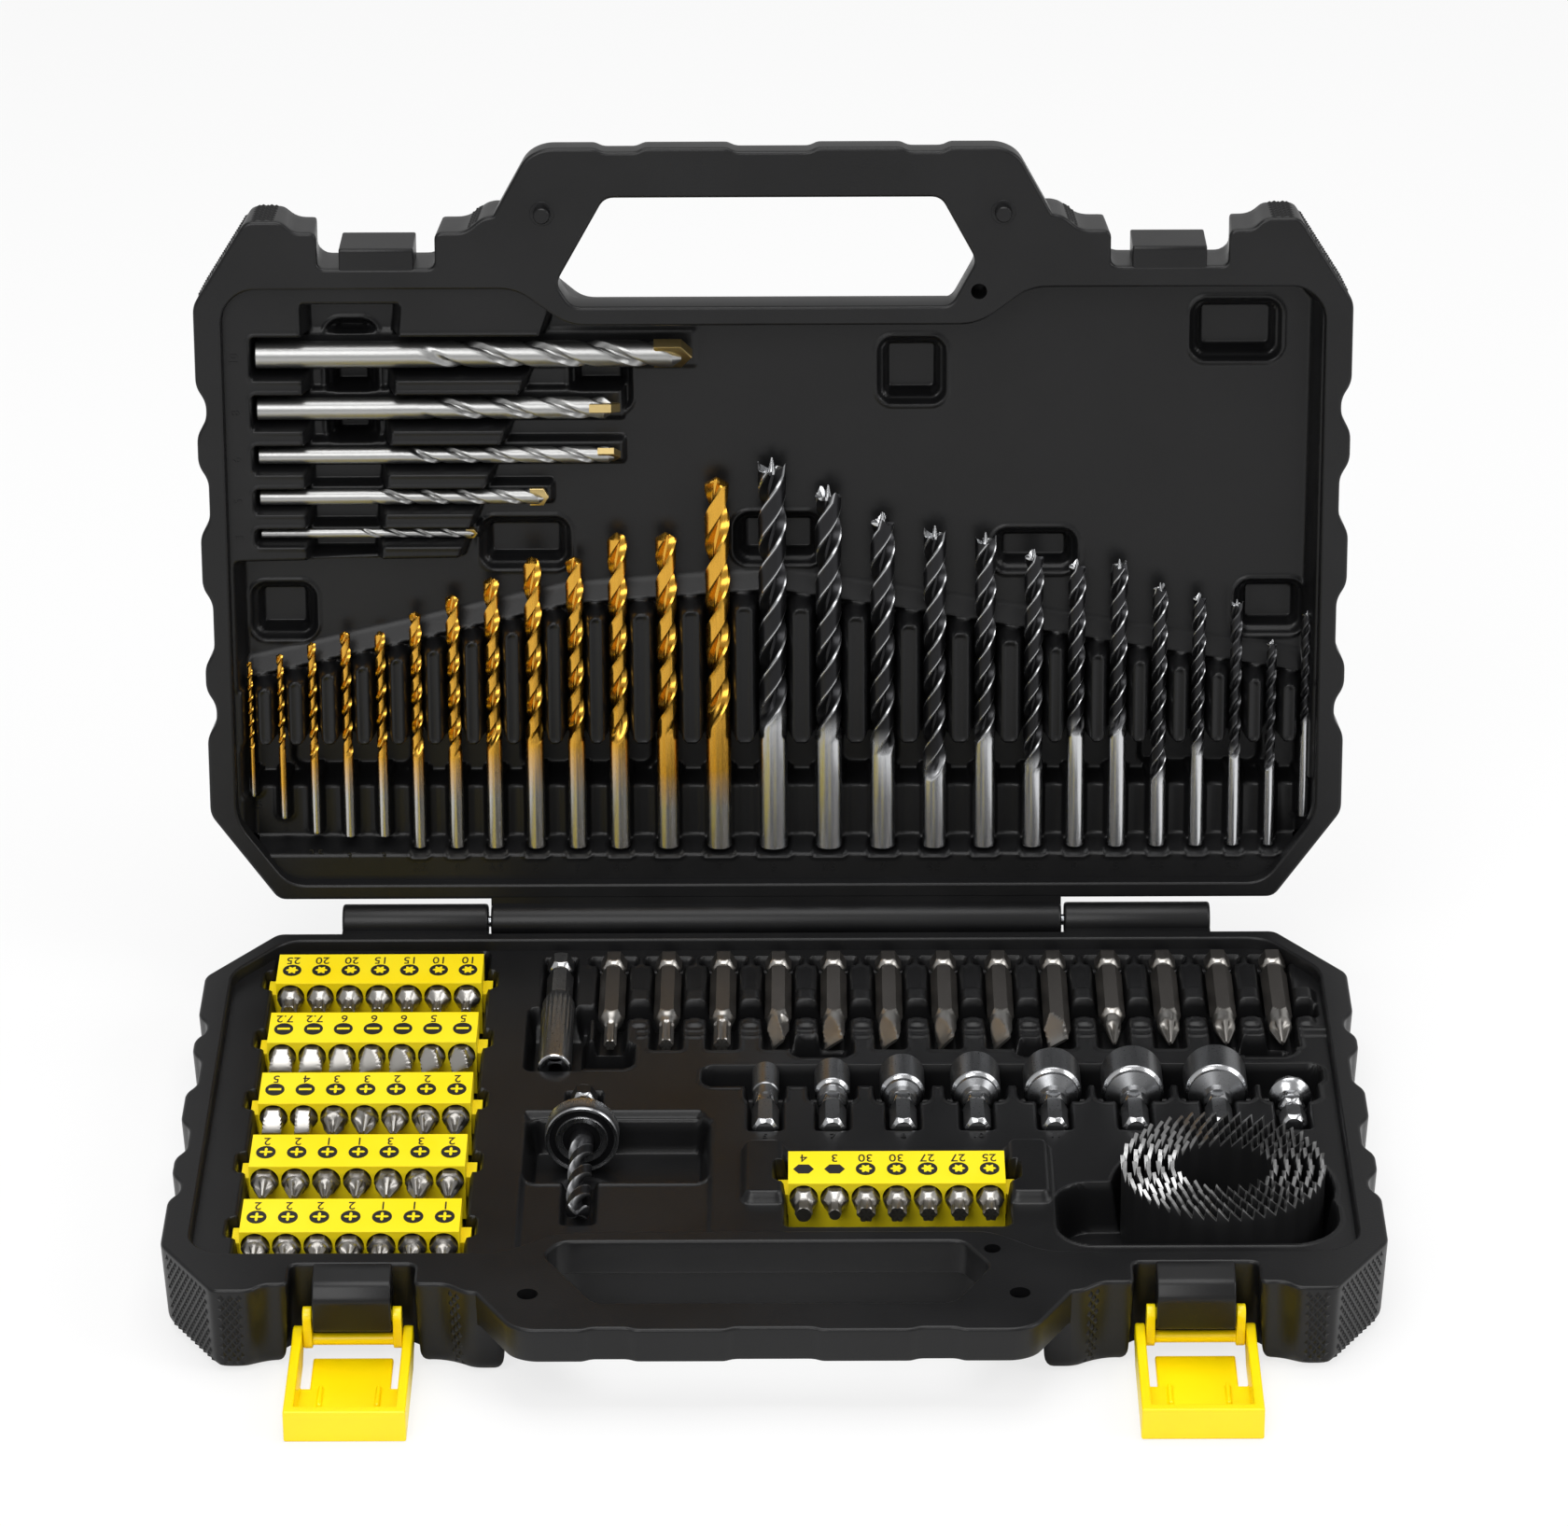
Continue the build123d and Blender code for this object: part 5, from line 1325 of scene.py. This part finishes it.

# %% [markdown]
# ** Arbor.** A hexagonal shank, a wide hexagonal collar for a spanner, and a flange that the saw's bottom
# sits against. Its edge and an inner ring are painted bright: painted highlight on the rims. The pilot drill
# sticks out in front.

# %% Arbor and pilot drill
ARBOR_V = 94.0
arbor_start = (ARBOR_U, ARBOR_V, POWER_DEPTH)
shank = turned_hexagon(BASE, arbor_start, [(0, 2.6), (1.1, 3.7), (5.0, 3.7), (6.0, 2.7), (7.0, 2.7),
                                           (8.0, 3.7), (14.5, 3.7)])
collar = turned_hexagon(BASE, arbor_start, [(14.0, 5.6), (14.8, 6.95), (20.6, 6.95)], across=12.0,
                        phase=math.pi / 6)
flange_steps = np.array([(20.0, 9.2), (20.4, 9.9), (25.4, 9.95), (26.0, 9.5), (26.0, 8.9), (25.5, 8.6),
                         (25.5, 7.0), (26.0, 6.7), (26.0, 5.4), (25.6, 5.0), (25.6, 3.3)])
# rows of the flange given the bright marked finish: painted highlight on its rims
rim_highlight_rings = np.isin(np.arange(len(flange_steps)), (1, 3, 4, 7, 8)).astype(float)
flange = rod(BASE, arbor_start, flange_steps[:, 0], flange_steps[:, 1:] + np.zeros((1, 64)),
             mark=rim_highlight_rings[:, None] + np.zeros((1, 64)))
build("turned_saw_arbor", joined([shank, collar, flange]), "saw_arbor", oxide_steel,
      stands_for=["saw_arbor"])


def pilot_drill(start=9.0, length=47.5, radius=3.2, pitch=22.0):
    """A short black twist drill that starts inside the flange, with lines of painted highlight along its land
    edges.
    """
    t = np.concatenate([[0, 3.0], stations(start, length - 2, 0.9), length - np.array([1.4, 0.8, 0.2])])
    section, _ = fluted(2 * radius, 36, 0.34, (0.42, 0.74))
    ring = radius + (section - radius) * s_curve(t, start, start + 5)[:, None]
    ring = np.minimum(ring, np.maximum(radius * np.clip((length - t) / 2.0, 0, 1)[:, None], 0.02))
    # bright lines along the land edges of the black drill: painted highlight
    edges = np.exp(-((np.abs(np.sin(angles(36))) - 0.72) / 0.06) ** 2) * (t > start + 3)[:, None] * 0.7
    turned = helix_turn(t, start, pitch) + 0.5
    return rod(BASE, (ARBOR_U, ARBOR_V + 18.5, POWER_DEPTH), t, ring, turned, edges)


build("fluted_pilot_drill", pilot_drill(), "saw_arbor", oxide_steel,
      stands_for=["pilot_drill"])
print("arbor", made["turned_saw_arbor"], "pilot", made["fluted_pilot_drill"])

# %% [markdown]
# ## Moulded yellow parts
#
# The bars and latches come out of a hard steel mould, and even a sharp mould edge leaves the part a little
# round. These pieces keep the CAD's shape: a copy is merged, its flat triangles are joined into
# faces, and every sharp edge is rounded, as that is what catches the light on a small plastic part.

# %% Rounded copies
def eased(node_name, radius, body, material):
    """A rounded copy: sharp edges are those where two faces turn by more than 30 degrees."""
    mesh = bmesh.new()
    mesh.from_mesh(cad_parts[node_name].data)
    mesh.transform(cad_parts[node_name].matrix_world)
    bmesh.ops.remove_doubles(mesh, verts=mesh.verts, dist=0.01 * MM)
    bmesh.ops.dissolve_limit(mesh, angle_limit=math.radians(1), verts=mesh.verts, edges=mesh.edges)
    edges = [e for e in mesh.edges if len(e.link_faces) == 2 and e.calc_face_angle() > math.radians(30)]
    bmesh.ops.bevel(mesh, geom=edges, offset=radius * MM, offset_type="OFFSET", segments=2, profile=0.5,
                    affect="EDGES", clamp_overlap=True)
    bmesh.ops.triangulate(mesh, faces=mesh.faces)
    bmesh.ops.recalc_face_normals(mesh, faces=mesh.faces)
    data = bpy.data.meshes.new(node_name + "_moulded")
    mesh.to_mesh(data)
    mesh.free()
    data.materials.append(material)
    data.polygons.foreach_set("use_smooth", np.ones(len(data.polygons), bool))
    data.set_sharp_from_angle(angle=math.radians(50))
    piece = bpy.data.objects.new(node_name + "_moulded", data)
    bpy.context.scene.collection.objects.link(piece)
    weighted = piece.modifiers.new("face_weighted_normals", "WEIGHTED_NORMAL")
    weighted.keep_sharp = True
    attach(piece, body)
    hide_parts(node_name)
    made[piece.name] = len(data.polygons)
    return piece


for hand in ("left", "right"):
    for part in ("link", "lever"):
        eased(f"latch_{part}_{hand}", 0.5, f"latch_{part}_{hand}", latch_plastic)
for body in BAR_BODIES:
    eased(body, 0.6, body, bar_plastic)
print("yellow parts", {k: n for k, n in made.items() if k.endswith("_moulded")})

# %% [markdown]
# ## Numbers
#
# The sizes beside the bits are cut into the mould, so they stand up from the tray in the same plastic. On
# the bars the size and a small sign for the kind of tip are printed in black. Each number is a text turned
# into a thin solid, and every use of it is a copy.

# %% Numbers
numeral_cache = {}


def numeral(text):
    """The text as points (x, y, z) around its own middle, one unit high, with its triangles."""
    if text not in numeral_cache:
        curve = bpy.data.curves.new("numeral", "FONT")
        curve.body, curve.align_x, curve.align_y = text, "CENTER", "CENTER"
        curve.extrude, curve.resolution_u = 0.5, 3
        writer = bpy.data.objects.new("numeral", curve)
        bpy.context.scene.collection.objects.link(writer)
        bpy.context.view_layer.update()
        flat = bpy.data.meshes.new_from_object(writer)
        solid = bmesh.new()
        solid.from_mesh(flat)
        bmesh.ops.remove_doubles(solid, verts=solid.verts, dist=1e-5)
        bmesh.ops.triangulate(solid, faces=solid.faces)
        bmesh.ops.recalc_face_normals(solid, faces=solid.faces)
        points = np.array([v.co for v in solid.verts])
        triangles = np.array([[v.index for v in f.verts] for f in solid.faces])
        solid.free()
        bpy.data.objects.remove(writer)
        bpy.data.meshes.remove(flat)
        bpy.data.curves.remove(curve)
        numeral_cache[text] = (points, triangles)
    return numeral_cache[text]


NUMBER_HEIGHT = 3.4


def written(rim, text, u, v, depth, height, thick=0.4, turn=0, narrow=1.0):
    """A number on a face at this depth, half sunk in. Each turn is a quarter to the left."""
    points, triangles = numeral(text)
    x, y = points[:, 0] * height * narrow, points[:, 1] * height
    up = 1 if rim is LID else -1
    for _ in range(turn):
        x, y = -y, x
    placed = place(rim, u + x, v + up * y, depth - points[:, 2] * thick)
    return Shape(placed, np.zeros((0, 4), int), triangles, np.zeros(len(placed)))


def plain(number):
    """The number without a needless decimal point."""
    return f"{number:g}"


def tray_number(rim, text, u, v, height=NUMBER_HEIGHT, turn=0):
    """A number on the tray, at the depth that the tray has there."""
    depths = lid_depths if rim is LID else base_depths
    return written(rim, text, u, v, depths(np.array([[u]]), np.array([[v]]))[0, 0], height, turn=turn)


lid_signs = [tray_number(LID, plain(size), u, tail - 4.6) for size, u, tail, _ in twist_places + brad_places]
lid_signs += [tray_number(LID, plain(size), MASONRY_U - 5.6, v, turn=1) for size, v, _ in masonry_places]
build("lid_numbers", joined(lid_signs), "lid", case_plastic, sharp=20.0)
POWER_MARKS = "10 15 20 4 5 6 6 6 8 1 2 2 3".split()
base_signs = [tray_number(BASE, mark, u, 13.4, 2.6) for mark, u in zip(POWER_MARKS, POWER_U)]
base_signs += [tray_number(BASE, plain(bore), u, 118.2) for _, bore, u in SOCKETS]
build("base_numbers", joined(base_signs), "base", case_plastic, sharp=20.0)
print("numbers", made["lid_numbers"], made["base_numbers"])


# %% Printed marks on the bars
def plate(rim, outline, u, v, depth, thick=0.12):
    """A thin solid of a closed outline of (x, y) points around its middle, lying on a face."""
    x, y = np.asarray(outline, float).T
    scale = np.array([1.0, 1.0, 0.0])[:, None]
    levels = depth - np.array([0.0, thick, thick])[:, None]
    return sheet(place(rim, u + scale * x, v - scale * y, levels), ring=True, caps=True).outward()


def tip_sign(kind, size=1.0):
    """A small star, bar, cross or hexagon outline."""
    angle = np.linspace(0, 2 * math.pi, 24, endpoint=False)
    if kind == "f":
        return size * np.array([(-0.9, -0.22), (0.9, -0.22), (0.9, 0.22), (-0.9, 0.22)])
    if kind == "s":
        reach = size * (0.72 + 0.2 * np.cos(6 * angle))
    elif kind == "c":
        reach = size * (0.58 + 0.36 * np.cos(4 * angle))
    else:
        reach = size * 0.9 * math.cos(math.pi / 6) / np.cos(np.mod(angle, math.pi / 3) - math.pi / 6)
    return np.stack([reach * np.cos(angle), reach * np.sin(angle)], -1)


oval_angle = np.linspace(0, 2 * math.pi, 20, endpoint=False)
OVAL = np.stack([2.6 * np.cos(oval_angle), 3.3 * np.sin(oval_angle)], -1)
print_black = moulded_plastic("printed_black_ink", "#141414", "#1a1a1a", 0.5)
for (u, v), body, tips in zip(BAR_PLACES, BAR_BODIES, BAR_TIPS.values()):
    printed, signs = [], []
    for slot, tip in zip(SLOTS_U, tips.split()):
        printed.append(written(BASE, tip[1:], u + slot, v + 3.6, -0.02, 5.6, 0.16, turn=2, narrow=0.72))
        back = tip_sign("h", 3.0) if tip[0] == "h" else OVAL
        printed.append(plate(BASE, back, u + slot, v + 9.6, 0.02))
        if tip[0] != "h":
            signs.append(plate(BASE, tip_sign(tip[0], 1.9) * (1.0, 1.25), u + slot, v + 9.6, -0.06))
    build(f"{body}_print", joined(printed), body, print_black, sharp=20.0)
    build(f"{body}_signs", joined(signs), body, bar_plastic, sharp=20.0)
print("print", made["bit_bar_1_print"], "signs", made["bit_bar_1_signs"])

# %% [markdown]
# ## What the CAD shows as it is
#
# The hinge pin and the holder's magnet are plain cylinders, and only their finish is set.

# %% Plain pieces
magnet_steel = steel("nickel_plated_magnet", "#A9A8A4", rough=0.22)
for node_name, material in (("hinge_pin", pin_steel), ("holder_magnet", magnet_steel)):
    plain_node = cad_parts[node_name]
    if not plain_node.material_slots:
        plain_node.data.materials.append(material)
    plain_node.material_slots[0].material = material
print("plain pieces", pin_steel.name, magnet_steel.name)

# %% [markdown]
# ## Knurled corners
#
# Hands and floors meet the case at its front corners, so the mould has a diamond pattern cut there. Each
# diamond is a small pyramid whose base is sunk in the wall, set out in staggered rows. It is real
# relief, because it breaks up the corner's outline where the light comes past it.

# %% Knurls
def knurl(rim, start, end, depths=(2.6, BACK - 1.8), pitch=(2.3, 2.9), height=0.5):
    """Pyramids on the wall that runs from start to end in (u, v), between two depths, rows staggered. They
    follow the wall's draft, and its quarter round at the back: edge - sqrt(edge squared - depth squared)."""
    start, end = np.array(start, float), np.array(end, float)
    length = np.linalg.norm(end - start)
    along = (end - start) / length
    normal = np.array([along[1], -along[0]])
    middle = (start + end) / 2
    normal = normal if np.dot(normal, middle - np.array([0.0, 100.0])) > 0 else -normal
    s, d = np.meshgrid(np.arange(pitch[0] / 2, length - pitch[0] / 2, pitch[0] / 2),
                       np.arange(depths[0], depths[1], pitch[1] / 2))
    staggered = (np.add.outer(np.arange(s.shape[0]), np.arange(s.shape[1])) % 2) == 0
    s, d = s[staggered][:, None], d[staggered][:, None]
    corner_s = s + np.array([-1, 0, 1, 0, 0]) * pitch[0] / 2 * 0.96
    corner_d = d + np.array([0, -1, 0, 1, 0]) * pitch[1] / 2 * 0.96
    bend = np.clip(corner_d - (BACK - BACK_EDGE), 0, BACK_EDGE * 0.98)
    drawn_in = DRAFT * corner_d / BACK + BACK_EDGE - np.sqrt(BACK_EDGE ** 2 - bend ** 2)
    out = np.array([-0.1, -0.1, -0.1, -0.1, height]) - drawn_in
    u = start[0] + along[0] * corner_s + normal[0] * out
    v = start[1] + along[1] * corner_s + normal[1] * out
    points = place(rim, u, v, corner_d).reshape(-1, 3)
    first = 5 * np.arange(len(s))[:, None]
    sides = (first[:, :, None] + np.array([[0, 1, 4], [1, 2, 4], [2, 3, 4], [3, 0, 4]])).reshape(-1, 3)
    quads = first + np.array([[3, 2, 1, 0]])
    a, b, c = points[sides[0]]
    facing_out = np.dot(np.cross(b - a, c - a), np.array([normal[0], normal[1], 0.0]) @ rim) > 0
    if not facing_out:
        sides, quads = sides[:, ::-1], quads[:, ::-1]
    return Shape(points, quads, sides, np.zeros(len(points)))


KNURLED = (((157.2, 182.0), (144.6, 202.0)), ((142.2, 203.8), (134.5, 203.8)),
           ((83.6, 200.9), (79.3, 204.35)))
for body, rim in (("lid", LID), ("base", BASE)):
    patches = [knurl(rim, (end * a[0], a[1]), (end * b[0], b[1])) for a, b in KNURLED for end in (-1, 1)]
    build(f"{body}_knurls", joined(patches), body, case_plastic, sharp=20.0)
print("knurls", made["lid_knurls"], made["base_knurls"], "triangles")

# %% [markdown]
# ## The studio
#
# A pale floor and soft light from large lamps, as in a product photograph.

# %% Floor, lamps and world
floor_mesh = bpy.data.meshes.new("floor")
floor_mesh.from_pydata([(-3, -3, 0), (3, -3, 0), (3, 3, 0), (-3, 3, 0)], [], [(0, 1, 2, 3)])
floor = bpy.data.objects.new("floor", floor_mesh)
bpy.context.scene.collection.objects.link(floor)
paper = bpy.data.materials.new("white_studio_paper")
paper.use_nodes = True
tree = paper.node_tree
tree.nodes.clear()
soft = node(tree, "ShaderNodeBsdfDiffuse", {"Color": colour("#F2F2F2")})
glow = node(tree, "ShaderNodeEmission", {"Color": (1, 1, 1, 1), "Strength": 1.0})
ray = node(tree, "ShaderNodeLightPath", {})
seen = node(tree, "ShaderNodeMath", {0: ray.outputs["Is Camera Ray"], 1: 0.75}, operation="MULTIPLY")
mixed = node(tree, "ShaderNodeMixShader", {"Fac": seen.outputs["Value"], 1: soft.outputs["BSDF"],
                                           2: glow.outputs["Emission"]})
node(tree, "ShaderNodeOutputMaterial", {"Surface": mixed.outputs["Shader"]})
floor_mesh.materials.append(paper)

world = bpy.data.worlds.new("studio")
bpy.context.scene.world = world
world.use_nodes = True
tree = world.node_tree
tree.nodes.clear()
ray = node(tree, "ShaderNodeLightPath", {})
room = node(tree, "ShaderNodeBackground", {"Color": (1, 1, 1, 1), "Strength": 0.45})
backdrop = node(tree, "ShaderNodeBackground", {"Color": (1, 1, 1, 1), "Strength": 1.0})
view = node(tree, "ShaderNodeMixShader", {"Fac": ray.outputs["Is Camera Ray"], 1: room.outputs["Background"],
                                          2: backdrop.outputs["Background"]})
node(tree, "ShaderNodeOutputWorld", {"Surface": view.outputs["Shader"]})


def lamp(name, place_m, aim_m, size, watts):
    """A square soft box at a place, turned towards its aim."""
    data = bpy.data.lights.new(name, "AREA")
    data.shape, data.size, data.energy = "SQUARE", size, watts
    light = bpy.data.objects.new(name, data)
    light.location = place_m
    light.rotation_euler = (Vector(aim_m) - Vector(place_m)).to_track_quat("-Z", "Y").to_euler()
    bpy.context.scene.collection.objects.link(light)


lamp("overhead_softbox", (0.0, 0.1, 1.6), (0, 0, 0), 1.2, 14)
lamp("front_softbox", (-0.5, -1.3, 1.2), (0, 0.1, 0.1), 1.0, 12)
lamp("right_softbox", (1.3, -0.4, 0.9), (0, 0.1, 0.1), 0.8, 7)
scene = bpy.context.scene
scene.view_settings.view_transform = "Standard"

# %% [markdown]
# ## Finish

# %% Finish
print("triangles", sum(made.values()), {k: n for k, n in made.items() if n > 60000})
